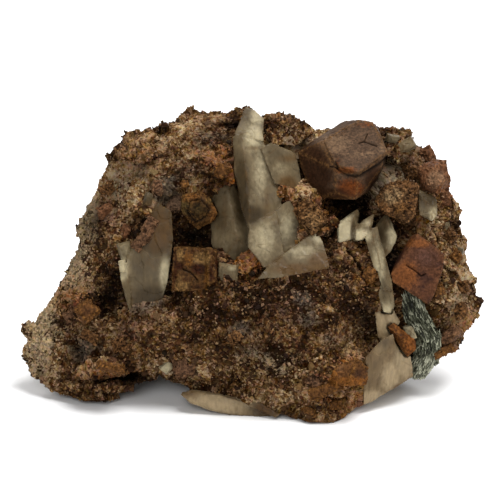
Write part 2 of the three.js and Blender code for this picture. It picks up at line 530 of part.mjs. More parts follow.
// The pieces set in the massive garnet, in the order they grew: each makes room for those before it.
const setPieces = [
  { name: "garnet_crystal_top", solid: bigCrystalSolid, colour: 0x5f4038, roughness: 0.45 },
  { name: "garnet_crystal_right", solid: crystal(rightCrystal), colour: 0x8a4a2c, roughness: 0.5 },
  { name: "garnet_crystal_zoned", solid: tableCrystal(zonedCrystal), colour: 0x6b4a2a, roughness: 0.5 },
  { name: "garnet_crystal_amber", solid: crystal(amberCrystal), colour: 0x8a5a22, roughness: 0.4 },
  { name: "garnet_crystal_lens", solid: crystal(lensCrystal), colour: 0xa05a22, roughness: 0.45 },
  { name: "garnet_crystal_shoulder", solid: dodecahedron(shoulderCrystal), colour: 0x7a4630, roughness: 0.45 },
  { name: "garnet_crystal_chunk", solid: crystal(chunkCrystal), colour: 0x6e4526, roughness: 0.6 },
  { name: "garnet_crystal_rust", solid: crystal(rustCrystal), colour: 0x8c4318, roughness: 0.4 },
  { name: "calcite_blades_middle", solid: blades(middleBlades), colour: 0xb8ae98, roughness: 0.35 },
  { name: "calcite_slab_left", solid: blades(leftSlab), colour: 0x8f8877, roughness: 0.35 },
  { name: "calcite_blades_right", solid: blades(rightBlades), colour: 0xb4ab95, roughness: 0.35 },
  { name: "calcite_corner", solid: blades(cornerMass), colour: 0xa89a85, roughness: 0.4 },
  { name: "calcite_chip", solid: blades(rightChip), colour: 0xa8a090, roughness: 0.35 },
  { name: "calcite_foot", solid: blades(footSlab), colour: 0xb5ab97, roughness: 0.5 },
  { name: "amphibole_spray", solid: spray, colour: 0x46584a, roughness: 0.4 },
];

const ground = belowUnderside();
const specimen = new THREE.Group();
specimen.name = "garnet_specimen";
specimen.rotation.x = -THREE.MathUtils.degToRad(leanDegrees);
specimen.position.z = heightOfFaceOrigin;

function place(name, solid, colour, roughness) {
  const material = new THREE.MeshStandardMaterial({ color: colour, roughness, metalness: 0 });
  const mesh = new THREE.Mesh(geometryOf(mainBody(solid)), material);
  mesh.name = name;
  specimen.add(mesh);
}

const rock = join([massiveGarnet(), blades(chunks)(0), ...studs()]).subtract(
  hull(lipSlot.map(onFace)),
);
let sockets = ground;
for (const { name, solid, colour, roughness } of setPieces) {
  place(name, solid(0).subtract(sockets), colour, roughness);
  sockets = sockets.add(solid(clearance));
}
place("massive_garnet", rock.subtract(sockets), 0x5c3f22, 0.75);

// The origin is the middle of the specimen's footprint, on the ground.
const bounds = new THREE.Box3().setFromObject(specimen, true);
const middle = bounds.getCenter(new THREE.Vector3());
specimen.position.sub(new THREE.Vector3(middle.x, middle.y, 0));

export default specimen;
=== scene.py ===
import math

import bmesh
import bpy
import numpy as np
from mathutils import Matrix, Vector
from mathutils.bvhtree import BVHTree


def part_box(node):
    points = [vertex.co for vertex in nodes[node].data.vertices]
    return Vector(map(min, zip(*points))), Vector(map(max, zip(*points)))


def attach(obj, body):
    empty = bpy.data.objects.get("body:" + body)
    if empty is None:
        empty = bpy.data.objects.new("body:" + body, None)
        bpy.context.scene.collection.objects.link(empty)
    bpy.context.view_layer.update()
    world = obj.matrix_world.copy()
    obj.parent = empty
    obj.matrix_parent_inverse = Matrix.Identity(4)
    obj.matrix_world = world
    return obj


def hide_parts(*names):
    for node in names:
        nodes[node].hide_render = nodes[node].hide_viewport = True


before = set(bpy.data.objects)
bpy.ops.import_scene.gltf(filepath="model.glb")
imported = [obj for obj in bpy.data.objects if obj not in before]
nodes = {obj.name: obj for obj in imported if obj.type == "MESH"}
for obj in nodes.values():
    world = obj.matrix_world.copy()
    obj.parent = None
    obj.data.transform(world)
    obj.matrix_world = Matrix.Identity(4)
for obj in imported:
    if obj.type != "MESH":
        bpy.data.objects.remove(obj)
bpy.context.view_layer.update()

mm = 0.001
collection = bpy.context.scene.collection

# The display face leans back. A place on it is (x, z, out) in millimetres: x to the right,
# z up the face, out towards the viewer.
face = {
    "lean": math.radians(20), "knownNode": "garnet_crystal_shoulder", "knownPlace": (35.1, 17.2, 4.6),
}
leanCos, leanSin = math.cos(face["lean"]), math.sin(face["lean"])
faceAxes = np.array([[1, 0, 0], [0, leanSin, leanCos], [0, -leanCos, leanSin]])
lowCorner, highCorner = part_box(face["knownNode"])
faceOrigin = np.array((lowCorner + highCorner) / 2) / mm - np.array(face["knownPlace"]) @ faceAxes


def fromFace(places):
    return (np.atleast_2d(places).astype(float) @ faceAxes + faceOrigin) * mm


def toFace(points):
    return (np.atleast_2d(points) / mm - faceOrigin) @ faceAxes.T


# Small helpers for node trees, the same for shapes and for materials
def plug(tree, value, socket):
    if isinstance(value, bpy.types.NodeSocket):
        tree.links.new(value, socket)
    else:
        socket.default_value = value


def addNode(tree, kind, sockets=None, **settings):
    node = tree.nodes.new(kind)
    for key, value in settings.items():
        setattr(node, key, value)
    for key, value in (sockets or {}).items():
        plug(tree, value, node.inputs[key])
    return node


def calc(tree, operation, *values):
    return addNode(tree, "ShaderNodeMath", dict(enumerate(values)), operation=operation).outputs[0]


def times(tree, *values):
    return calc(tree, "MULTIPLY", *values)


def minus(tree, *values):
    return calc(tree, "SUBTRACT", *values)


def timesPlus(tree, *values):
    return calc(tree, "MULTIPLY_ADD", *values)


def vec(tree, operation, *values):
    node = addNode(tree, "ShaderNodeVectorMath", dict(enumerate(values)), operation=operation)
    return node.outputs["Value" if operation == "DOT_PRODUCT" else "Vector"]


def along(tree, direction, distance):
    sockets = {0: direction, "Scale": distance}
    return addNode(tree, "ShaderNodeVectorMath", sockets, operation="SCALE").outputs[0]


# Spreads a value that lies between low and high softly over another reach. In the dictionaries
# below such a spread is its two or four numbers.
def spread(tree, value, low, high, toLow=0.0, toHigh=1.0):
    sockets = {"Value": value, "From Min": low, "From Max": high, "To Min": toLow, "To Max": toHigh}
    return addNode(tree, "ShaderNodeMapRange", sockets, interpolation_type="SMOOTHSTEP").outputs["Result"]


def mixColour(tree, share, first, second):
    return addNode(tree, "ShaderNodeMix", {0: share, 6: first, 7: second}, data_type="RGBA").outputs[2]


def noiseOf(tree, place, size, detail=2.0, roughness=0.5, output="Fac"):
    sockets = {"Vector": place, "Scale": 1 / (size * mm), "Detail": detail, "Roughness": roughness}
    return addNode(tree, "ShaderNodeTexNoise", sockets).outputs[output]


def turnedBy(tree, place, turn):
    sockets = {"Vector": place, "Rotation": turn}
    return addNode(tree, "ShaderNodeVectorRotate", sockets, rotation_type="EULER_XYZ").outputs[0]


def cellsOf(tree, place, scale, **settings):
    return addNode(tree, "ShaderNodeTexVoronoi", {"Vector": place, "Scale": scale}, **settings).outputs


# The broken grain of the massive garnet. Shape and colour use the same cells, so each facet
# that stands out also has its own colour. Sizes are in millimetres.
grain = {
    "lump": {"size": 4.4, "turn": (0.5, 0.3, 0.9)},
    "grain": {"size": 1.7, "turn": (0.9, 0.7, 0.2)},
    "fine": {"size": 0.8, "turn": (0.2, 1.1, 0.6)},
    "speck": {"size": 0.34, "turn": (0.7, 0.1, 1.2)},
}
drift = {"size": 8.0, "reach": 1.8}
middle = (0.5, 0.5, 0.5)


def warped(tree, place):
    bend = noiseOf(tree, place, drift["size"], detail=1.0, output="Color")
    centred = vec(tree, "SUBTRACT", bend, middle)
    return vec(tree, "ADD", place, vec(tree, "MULTIPLY", centred, (drift["reach"] * mm,) * 3))


def grainCells(tree, place, key):
    turned = turnedBy(tree, place, grain[key]["turn"])
    return cellsOf(tree, turned, 1 / (grain[key]["size"] * mm), distance="MANHATTAN"), turned


def cellLuck(tree, place, key):
    return vec(tree, "DOT_PRODUCT", grainCells(tree, place, key)[0]["Color"], (0, 1, 0))


# Each cell is a facet of its own height and tilt, in millimetres.
def facets(tree, place, key, lift, tilt):
    cells, turned = grainCells(tree, place, key)
    luck = vec(tree, "SUBTRACT", cells["Color"], middle)
    rise = times(tree, vec(tree, "DOT_PRODUCT", luck, (1, 0, 0)), lift)
    offset = vec(tree, "SUBTRACT", turned, cells["Position"])
    slope = calc(tree, "DIVIDE", vec(tree, "DOT_PRODUCT", offset, luck), mm)
    return timesPlus(tree, slope, tilt, rise)


def newSocket(tree, label, kind, way="INPUT"):
    tree.interface.new_socket(name=label, in_out=way, socket_type="NodeSocket" + kind)


# A shape tree has its sizes as named inputs and ends in Realize Instances and Set Material.
sizeKinds = {"Turn": "Vector", "Cell": "Vector", "Seed": "Int"}


def shapeTree(name, sizes, objects=()):
    tree = bpy.data.node_groups.new(name, "GeometryNodeTree")
    newSocket(tree, "Geometry", "Geometry")
    newSocket(tree, "Geometry", "Geometry", "OUTPUT")
    newSocket(tree, "Material", "Material")
    for label in objects:
        newSocket(tree, label, "Object")
    for label in sizes:
        newSocket(tree, label, sizeKinds.get(label, "Float"))
    return tree, tree.nodes.new("NodeGroupInput").outputs


def endTree(tree, entry, geometry):
    whole = addNode(tree, "GeometryNodeRealizeInstances", {"Geometry": geometry}).outputs[0]
    sockets = {"Geometry": whole, "Material": entry["Material"]}
    coloured = addNode(tree, "GeometryNodeSetMaterial", sockets).outputs[0]
    plug(tree, coloured, tree.nodes.new("NodeGroupOutput").inputs["Geometry"])
    return tree


def store(tree, geometry, name, value, kind="FLOAT", domain="POINT"):
    sockets = {"Geometry": geometry, "Name": name, "Value": value}
    node = addNode(tree, "GeometryNodeStoreNamedAttribute", sockets, data_type=kind, domain=domain)
    return node.outputs[0]


def named(tree, name, kind="FLOAT"):
    node = addNode(tree, "GeometryNodeInputNamedAttribute", {"Name": name}, data_type=kind)
    return node.outputs["Attribute"]


def objectShape(tree, socket):
    node = addNode(tree, "GeometryNodeObjectInfo", {"Object": socket}, transform_space="ORIGINAL")
    return node.outputs["Geometry"]


def nearestOn(tree, shape, place, element):
    sockets = {"Geometry": shape, "Sample Position": place}
    return addNode(tree, "GeometryNodeProximity", sockets, target_element=element).outputs


def randomValue(tree, low, high, seed):
    kind, ending, output = ("FLOAT_VECTOR", "", 0) if isinstance(low, tuple) else ("FLOAT", "_001", 1)
    node = addNode(tree, "FunctionNodeRandomValue", data_type=kind)
    sockets = {socket.identifier: socket for socket in node.inputs}
    for identifier, value in (("Min" + ending, low), ("Max" + ending, high), ("Seed", seed)):
        plug(tree, value, sockets[identifier])
    return node.outputs[output]


def startShape(tree, entry):
    place = addNode(tree, "GeometryNodeInputPosition").outputs[0]
    return place, store(tree, entry["Geometry"], "place", place, "FLOAT_VECTOR")


def lessCracks(tree, entry, height):
    return minus(tree, height, times(tree, named(tree, "crack"), entry["Crack Depth"]))


# Moves each point out by its height in millimetres
def raisedBy(tree, entry, geometry, height, pull=None):
    normal = addNode(tree, "GeometryNodeInputNormal").outputs[0]
    offset = along(tree, normal, times(tree, height, mm))
    if pull is not None:
        offset = vec(tree, "ADD", pull, offset)
    moved = addNode(tree, "GeometryNodeSetPosition", {"Geometry": geometry, "Offset": offset})
    return endTree(tree, entry, moved.outputs[0])


def newObject(name, data):
    made = bpy.data.objects.new(name, data)
    collection.objects.link(made)
    return made


def settle(piece):
    graph = bpy.context.evaluated_depsgraph_get()
    mesh = bpy.data.meshes.new_from_object(
        piece.evaluated_get(graph), preserve_all_data_layers=True, depsgraph=graph
    )
    piece.modifiers.clear()
    old = piece.data
    piece.data = mesh
    mesh.name = piece.name
    bpy.data.meshes.remove(old)


def runTree(piece, tree, material, values):
    modifier = piece.modifiers.new(tree.name, "NODES")
    modifier.node_group = tree
    given = dict(values, Material=material)
    for socket in tree.interface.items_tree:
        if socket.in_out == "INPUT" and socket.name in given:
            modifier[socket.identifier] = given[socket.name]
    settle(piece)


def runModifier(piece, kind, **settings):
    modifier = piece.modifiers.new(kind, kind)
    for key, value in settings.items():
        setattr(modifier, key, value)
    settle(piece)


def newPiece(name, work):
    mesh = bpy.data.meshes.new(name)
    work.to_mesh(mesh)
    work.free()
    return newObject(name, mesh)


def copyOf(name, *nodeNames):
    work = bmesh.new()
    for nodeName in nodeNames:
        work.from_mesh(nodes[nodeName].data)
    bmesh.ops.remove_doubles(work, verts=work.verts, dist=0.002 * mm)
    return newPiece(name, work)


def remesh(piece, voxel):
    runModifier(piece, "REMESH", mode="VOXEL", voxel_size=voxel * mm)


def countTriangles(piece):
    return sum(len(p.vertices) - 2 for p in piece.data.polygons)


def pointsOf(mesh):
    values = np.empty(len(mesh.vertices) * 3)
    mesh.vertices.foreach_get("co", values)
    return values.reshape(-1, 3)


def maskOf(mesh, name):
    values = np.empty(len(mesh.vertices), dtype=np.float32)
    mesh.attributes[name].data.foreach_get("value", values)
    return values


def setMask(mesh, name, values):
    layer = mesh.attributes.get(name) or mesh.attributes.new(name, "FLOAT", "POINT")
    layer.data.foreach_set("value", np.ascontiguousarray(values, dtype=np.float32))


def stayAboveGround(mesh):
    points = pointsOf(mesh)
    points[:, 2] = np.maximum(points[:, 2], 0)
    mesh.vertices.foreach_set("co", np.ascontiguousarray(points).ravel())
    mesh.update()


def softEdge(value, low, high):
    share = np.clip((value - low) / (high - low), 0, 1)
    return share * share * (3 - 2 * share)


# Paint stops at these places inwards from the display face, and each patch fades with distance.
paint = {"patches": (-16, -7), "cracks": (-10, -3), "fade": 0.7}


def patchShare(x, z, place):
    px, pz, halfWidth, halfHeight = place
    return np.exp(-paint["fade"] * (((x - px) / halfWidth) ** 2 + ((z - pz) / halfHeight) ** 2))


# Patches on the display face: each is (x, z, half width, half height) in millimetres, and its
# strength where that isn't 1
def paintPatches(mesh, patches):
    x, z, out = toFace(pointsOf(mesh)).T
    for name, places in patches.items():
        value = np.zeros(len(x))
        for place in places:
            strength = place[4] if len(place) > 4 else 1
            value = np.maximum(value, patchShare(x, z, place[:4]) * strength)
        setMask(mesh, name, value * softEdge(out, *paint["patches"]))


# Cracks on the display face: each is its half width and then its corners (x, z)
def paintCracks(mesh, cracks):
    x, z, out = toFace(pointsOf(mesh)).T
    value = np.zeros(len(x))
    for halfWidth, *corners in cracks:
        for (ax, az), (bx, bz) in zip(corners[:-1], corners[1:]):
            length = (bx - ax) ** 2 + (bz - az) ** 2
            share = np.clip(((x - ax) * (bx - ax) + (z - az) * (bz - az)) / length, 0, 1)
            reach = np.hypot(x - ax - share * (bx - ax), z - az - share * (bz - az))
            value = np.maximum(value, np.exp(-((reach / halfWidth) ** 2)))
    setMask(mesh, "crack", value * softEdge(out, *paint["cracks"]))


# Smooth within the sharp angle in degrees, or flat faces where none is given
def shade(piece, sharpAngle=None):
    mesh = piece.data
    mesh.polygons.foreach_set("use_smooth", [sharpAngle is not None] * len(mesh.polygons))
    if sharpAngle is not None:
        mesh.set_sharp_from_angle(angle=math.radians(sharpAngle))
    mesh.update()


def finishPiece(piece, slot, *replaced):
    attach(piece, "root")
    if replaced:
        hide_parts(*replaced)
    print(f"{piece.name}: {countTriangles(piece)} triangles")


# Materials
def newMaterial(name, specular):
    material = bpy.data.materials.new(name)
    material.use_nodes = True
    surface = material.node_tree.nodes["Principled BSDF"].inputs
    surface["Specular IOR Level"].default_value = specular
    return material, material.node_tree, surface


def attribute(tree, name, output="Fac"):
    return addNode(tree, "ShaderNodeAttribute", attribute_name=name).outputs[output]


def ramp(tree, value, stops):
    node = addNode(tree, "ShaderNodeValToRGB", {"Fac": value})
    elements = node.color_ramp.elements
    while len(elements) < len(stops):
        elements.new(0.5)
    for element, (position, colour) in zip(elements, stops):
        element.position = position
        element.color = (*colour, 1)
    return node.outputs["Color"]


def brightened(tree, colour, value):
    return addNode(tree, "ShaderNodeHueSaturation", {"Color": colour, "Value": value}).outputs[0]


def darkenedBy(tree, colour, zone, most=0.85):
    return brightened(tree, colour, timesPlus(tree, attribute(tree, zone), -most, 1.0))


# A colour group has its colours and numbers as named inputs.
def colourGroup(name, colours, numbers):
    group = bpy.data.node_groups.new(name, "ShaderNodeTree")
    for label in colours:
        newSocket(group, label, "Color")
    for label in numbers:
        newSocket(group, label, "Float")
    for label, kind in (("Color", "Color"), ("Roughness", "Float"), ("Height", "Float")):
        newSocket(group, label, kind, "OUTPUT")
    return group, group.nodes.new("NodeGroupInput").outputs


def endGroup(group, colour, roughness, height):
    leave = group.nodes.new("NodeGroupOutput").inputs
    for label, value in (("Color", colour), ("Roughness", roughness), ("Height", height)):
        plug(group, value, leave[label])
    return group


# Blends the painted zones in, one over the other. The unrest breaks up their edges.
def overZones(group, entry, colour, unrest, wear):
    for label, most in wear["zones"].items():
        share = calc(group, "ADD", attribute(group, label.lower()), unrest)
        share = spread(group, share, *wear["zoneEdge"], 0.0, most)
        colour = mixColour(group, share, colour, entry[label])
    return colour


def useGroup(tree, surface, group, values, bumpStrength, bumpDepth):
    node = addNode(tree, "ShaderNodeGroup", node_tree=group)
    for key, value in values.items():
        plug(tree, (*value, 1) if isinstance(value, tuple) else value, node.inputs[key])
    plug(tree, node.outputs["Color"], surface["Base Color"])
    plug(tree, node.outputs["Roughness"], surface["Roughness"])
    sockets = {"Height": node.outputs["Height"], "Strength": bumpStrength, "Distance": bumpDepth * mm}
    plug(tree, addNode(tree, "ShaderNodeBump", sockets).outputs[0], surface["Normal"])


# Massive garnet
rock = {
    "voxel": 0.3, "triangles": 196000, "flatTop": (-8.4, 28.6, 6.0, 2.6), "flatTopCalm": 0.6,
    "groundCalm": 0.75, "groundReach": (0.2, 2.5), "zoneCalm": 0.5, "mostCalm": 0.8, "gapRise": 0.1,
    "specular": 0.02, "bump": (0.5, 0.1), "speckShare": 0.65, "fineShare": 0.35,
}
rockSizes = {
    "Lump Lift": 1.15, "Lump Tilt": 0.5, "Grain Lift": 0.4, "Grain Tilt": 0.36, "Fine Lift": 0.2,
    "Fine Tilt": 0.32, "Sunk": 0.2, "Crack Depth": 1.0, "Gap From": 0.45, "Gap To": 1.1,
}
rockCracks = [
    (0.35, (-20.2, 9.2), (-21.6, 5.4), (-23.4, 1.6), (-24.2, -1.6)),
    (0.3, (-14.8, 3.4), (-14.6, -1), (-15.6, -5)),
    (0.3, (18.6, 3.6), (20.4, 0.4), (22.2, -3.2)),
]

# Where the massive garnet changes colour on the display side, and where light and shade are painted into it
rockPatches = {
    # Paler golden grains, and painted light on the bottom that faces down towards the floor
    "golden": [
        (-20.5, 23.6, 5, 2.6), (-13, 22.8, 3.6, 2.8), (13.7, 25.4, 5.4, 2.2), (39.6, -7.4, 4.4, 5.6),
        (-25, 14.4, 4, 6, 1.5), (39.6, 6, 3, 5.6), (16, -28.4, 7, 2), (7.8, 23, 3, 3, 1.7),
        (-13.4, 12.4, 2.4, 2.2, 1), (-10, 27.6, 5, 3, 1.3), (-36, -1, 2, 6, 0.7), (22, -5, 2, 2.4),
        (13, -15.4, 8, 3, 0.5), (24.6, -14.6, 1.4, 4.6), (13, 9.5, 2.4, 3.4), (-33, -3.6, 4, 3),
        (10, -25.4, 7, 3, 1.3), (19.6, 1.6, 1.6, 1.4), (-18, 22.4, 9, 4, 0.6), (-29, 13, 5, 9, 1),
        (17.4, -24.8, 4, 3, 1.7), (39, 0, 5, 14, 1.35), (30, 21, 5, 4, 0.7), (-40, -14, 4, 7, 0.4),
        (-30, -16, 6, 6, 0.6), (-15, -19.6, 8, 3, 0.9), (-3, -20, 4, 3, 0.5), (8, -20, 3, 2, 0.5),
        (41, -9, 3, 4, 2), (26, 14.6, 4, 4, 0.9), (-9, 22, 3, 5, 1), (-26, 8, 3, 4, 0.9),
        (11.5, 9, 3.6, 5, 1.2), (14.6, -16.4, 5, 4.6, 0.8),
    ],
    "orange": [
        (-34, -6.4, 2.6, 2.8), (-28.4, -20.2, 4, 1.5), (15, -22.8, 4, 2.2), (-4, 16.8, 2.6, 2.4),
        (-0.6, 0.8, 2.4, 2.4), (6.4, 14.8, 1.8, 2.2), (37.6, 15.2, 1.6, 3), (22.4, -2, 1.4, 1.6),
        (20, -19.4, 3, 3), (41, -10, 2.6, 3), (-7, 21, 2.6, 2), (11.5, 10, 3, 3), (38, -17, 3, 1.6),
        (33, 9, 1.6, 2), (19, -26, 4, 2), (-22, 21, 4, 3, 0.4),
    ],
    # Darker grains, and painted shade in pits and pockets, under the big crystal, under the blades and in
    # the notch at the bottom left
    "dark": [
        (-4.8, 27.6, 4, 2.8), (6, 27, 3.2, 2.4), (-30.2, 8, 2.2, 3.6), (-8.2, 15.6, 2, 2.4),
        (-11.4, 6.4, 4.4, 2.6), (-15, 0.8, 1, 4.4), (-27, -6.2, 2.6, 2.8), (18.5, -3.4, 3.8, 2),
        (22.2, -11.2, 2.1, 4), (-23.6, -21.4, 4, 1), (-3, -6.6, 9, 3.2), (25.6, 25, 1.4, 1.6),
        (31, 17.8, 2, 1.8), (19, 11.6, 3.4, 2), (37.6, -13.8, 3, 2.2), (-8.4, 19.2, 2.4, 1.4),
        (-34.8, -9.4, 1.4, 1.6), (-28.4, -14.8, 1, 1), (28, 7.6, 2, 2), (14.8, 3.4, 1, 3),
        (-17, 26, 1.6, 1.4), (38.6, 9.2, 1.4, 2.4), (2, -19.6, 3, 3, 0.6), (21, 0.4, 1.6, 1),
        (-3, -10.6, 8, 3.6, 1.3), (-26, -2, 3, 4.4, 1.3), (8, -3.9, 3, 3, 0.8), (-3, -3.4, 3.6, 3, 1.6),
        (8.6, -1.4, 5, 1.6, 0.6), (12.8, -3.4, 3, 2.4, 1.6), (2, -10, 6, 4, 1.5), (3.6, -16.6, 5, 4.6, 1.1),
        (-24.6, -18.6, 3.4, 2.4, 1), (-17, 15.4, 4, 3, 0.7), (22.6, 7.4, 2, 2.4, 1.4),
        (-9, -8.4, 4, 2.4, 1.2), (23.2, 7.2, 2.6, 2.2), (20.6, -8.6, 2.6, 3.4), (18.4, -1.6, 3, 3.4, 0.6),
        (27.4, -1.4, 1.4, 3), (9, 27.4, 3, 1.6, 0.6),
    ],
    "grey": [
        (-16.2, 14, 3, 3.6), (-21.4, 18.4, 2, 1.6), (-27, 15.4, 1.4, 1.6), (-32.4, -16, 1.8, 2.6),
        (-2, -12, 2.2, 1.4, 0.7), (10, -6.6, 2, 1.4, 0.7), (13.6, 22.8, 3, 1.6), (-20, -7.4, 4, 2, 0.8),
        (1, -16, 3, 1.6, 0.6), (11, -10, 2.4, 1.6, 0.7), (16, -14, 3, 1.6, 0.6), (-14, 19, 7, 6, 0.45),
        (27, 14.4, 4.4, 4.4, 0.9), (30, 20, 4, 4, 0.6), (41.6, -4, 2.4, 12, 0.45), (-31, -16, 5, 4, 0.5),
        (9, 24.6, 3, 2.4, 0.5), (-8, 24, 4, 5, 0.6), (-25, 16, 3, 5, 0.6), (40.4, -8, 3, 5, 0.6),
    ],
    # Painted shadow in hollows, gaps and pockets, under the big crystal and under the overhang at the bottom
    # left
    "black": [
        (28.6, 6.2, 1.6, 1.4, 0.7), (-26.2, -2.6, 1.6, 3.6, 0.9), (-3.6, -4.4, 2.6, 1.4, 0.5),
        (-5.8, 16.6, 2, 1.4), (-11, 5.8, 3.8, 2.2, 1.1), (-15, 3, 0.8, 3.4), (-30.4, 8.2, 1.6, 3.2, 0.8),
        (-27, -5.6, 2.6, 3.2), (17.2, 12.4, 2.6, 1.2), (27, 1.2, 1.8, 2.6, 0.8), (21.8, -10.2, 2.2, 3.4),
        (37.6, -13.6, 2.2, 2.4, 0.8), (-26.6, -21.6, 6, 0.8), (-3.4, 27.4, 1.6, 1.4, 0.7),
        (20, 9.8, 3, 2, 0.8), (-34, -15.6, 1, 1, 0.8), (33.2, 10.4, 1.2, 2.4, 0.6),
        (22.8, -0.2, 1.4, 1, 0.6), (35, -1.8, 1.6, 1.2, 0.5), (-12.8, -3.6, 1, 3, 0.5),
        (15.6, 2.2, 0.8, 3.2, 0.8), (-6.2, -0.6, 0.4, 4), (25, 16.6, 1, 3, 0.7), (-21.6, 5.4, 0.5, 3.6, 0.8),
    ],
    "pink": [
        (-27.8, 10.6, 2.4, 2.4), (31.6, 20.4, 2, 2), (-24, -12, 4, 2.4, 0.6), (6, -8.6, 3, 2, 0.5),
        (8, 22.6, 2.6, 2.4, 0.4),
    ],
    "olive": [
        (-40.6, -13, 3, 9), (-34.4, 2, 2.6, 9), (-31, 12, 1.8, 7), (-17, -2, 1, 3, 0.7), (2, -18, 5, 2, 0.4),
        (26.4, 16.4, 3, 3.4, 0.9), (40.4, -8.6, 2.8, 4, 1), (7.4, -20, 3, 2, 0.5), (-25.4, 15, 3, 5.4, 0.65),
        (7.6, 23, 2.4, 2.4, 0.6),
    ],
}

# Grain colours from dark to pale, how far each part of the pattern moves the tone, and the
# colours and strengths of the painted zones
garnetColours = {
    "grains": [
        (0.0, (0.01, 0.004, 0.001)), (0.2, (0.024, 0.0094, 0.0022)), (0.42, (0.057, 0.026, 0.0072)),
        (0.6, (0.118, 0.059, 0.019)), (0.76, (0.21, 0.119, 0.046)), (0.9, (0.31, 0.2, 0.09)),
        (1.0, (0.43, 0.32, 0.18)),
    ],
    # In the tone, golden is partly painted light and dark is partly painted shade
    "tone": {"grain": 0.36, "speck": 0.72, "cloud": 1.15, "golden": 0.22, "dark": -0.26},
    "cloudSize": 6.0, "cloudMiddle": 0.62, "blockSway": 0.28, "roughness": (0.5, 0.95, 0.72, 0.3),
    "zones": {
        "olive": ((0.28, 0.2, 0.108), 0.8), "grey": ((0.076, 0.062, 0.044), 0.6),
        "pink": ((0.092, 0.048, 0.026), 0.6), "orange": ((0.17, 0.062, 0.013), 0.65),
    },
    "zoneEdge": (0.25, 0.9), "zoneLuck": 1.3, "zoneTint": (1.3, 0.3), "swaySize": 0.7,
    "hueSway": 0.095, "hueMiddle": 0.4985, "depthSway": 0.7, "depthMiddle": 0.94,
}


# Turns a random number for each grain, and the painted patches, into a colour.
def grainColourGroup():
    group, entry = colourGroup("grainColour", (), ("Grain", "Speck", "Cloud"))
    moves = garnetColours["tone"]
    tone = timesPlus(group, entry["Grain"], moves["grain"], times(group, entry["Speck"], moves["speck"]))
    cloud = minus(group, entry["Cloud"], garnetColours["cloudMiddle"])
    tone = timesPlus(group, cloud, moves["cloud"], tone)
    # The golden patches lift the tone, partly as painted light, and the dark ones lower it, partly as
    # painted shade
    for zone in ("golden", "dark"):
        tone = timesPlus(group, attribute(group, zone), moves[zone], tone)
    colour = ramp(group, tone, garnetColours["grains"])
    chance = timesPlus(group, entry["Speck"], 0.5, times(group, entry["Grain"], 0.5))
    luck = minus(group, chance, 0.5)
    tint = timesPlus(group, entry["Speck"], *garnetColours["zoneTint"])
    for zone, (zoneColour, most) in garnetColours["zones"].items():
        share = timesPlus(group, luck, garnetColours["zoneLuck"], attribute(group, zone))
        share = spread(group, share, *garnetColours["zoneEdge"], 0.0, most)
        tinted = brightened(group, (*zoneColour, 1), tint)
        colour = mixColour(group, share, colour, tinted)

    # Some grains are redder and some yellower.
    place = attribute(group, "place", "Vector")
    sway = noiseOf(group, place, garnetColours["swaySize"], output="Color")
    sway = vec(group, "SUBTRACT", sway, middle)
    sockets = {"Color": colour}
    for label, key, axis in (("Hue", "hue", (1, 0, 0)), ("Saturation", "depth", (0, 1, 0))):
        reach, centre = garnetColours[key + "Sway"], garnetColours[key + "Middle"]
        sockets[label] = timesPlus(group, vec(group, "DOT_PRODUCT", sway, axis), reach, centre)
    colour = addNode(group, "ShaderNodeHueSaturation", sockets).outputs[0]
    # Cracks darken the colour, and painted shadow in the hollows darkens it further
    colour = darkenedBy(group, darkenedBy(group, colour, "crack"), "black")
    roughness = spread(group, entry["Speck"], *garnetColours["roughness"])
    return endGroup(group, colour, roughness, entry["Speck"])


def brokenGrainTree():
    tree, entry = shapeTree("brokenGrain", rockSizes, ["Set Pieces"])
    place, stored = startShape(tree, entry)

    # Next to a crystal or blade the rock grows on to it, so no gap shows round what is set in it.
    near = nearestOn(tree, objectShape(tree, entry["Set Pieces"]), place, "FACES")
    gapFrom, gapTo = (times(tree, entry[label], mm) for label in ("Gap From", "Gap To"))
    closeBy = spread(tree, near["Distance"], gapFrom, gapTo, 1.0, 0.0)
    pull = along(tree, vec(tree, "SUBTRACT", near["Position"], place), closeBy)

    bent = warped(tree, place)
    height, grains, fine = (
        facets(tree, bent, key.lower(), entry[key + " Lift"], entry[key + " Tilt"])
        for key in ("Lump", "Grain", "Fine")
    )
    height = calc(tree, "ADD", calc(tree, "ADD", height, grains), fine)
    height = times(tree, height, minus(tree, 1.0, named(tree, "calm")))
    height = minus(tree, height, entry["Sunk"])
    raised = calc(tree, "MAXIMUM", height, rock["gapRise"])
    height = timesPlus(tree, minus(tree, raised, height), closeBy, height)
    return raisedBy(tree, entry, stored, lessCracks(tree, entry, height), pull)


def blockTone(tree, place):
    luck = minus(tree, cellLuck(tree, warped(tree, place), "lump"), 0.5)
    cloud = noiseOf(tree, place, garnetColours["cloudSize"], detail=3.0)
    return timesPlus(tree, luck, garnetColours["blockSway"], cloud)


def massiveGarnetMaterial(group):
    material, tree, surface = newMaterial("massive garnet", rock["specular"])
    place = attribute(tree, "place", "Vector")
    bent = warped(tree, place)
    luck = {key: cellLuck(tree, bent, key) for key in ("grain", "fine", "speck")}
    fine = times(tree, luck["fine"], rock["fineShare"])
    both = timesPlus(tree, luck["speck"], rock["speckShare"], fine)
    values = {"Grain": luck["grain"], "Speck": both, "Cloud": blockTone(tree, place)}
    useGroup(tree, surface, group, values, *rock["bump"])
    return material


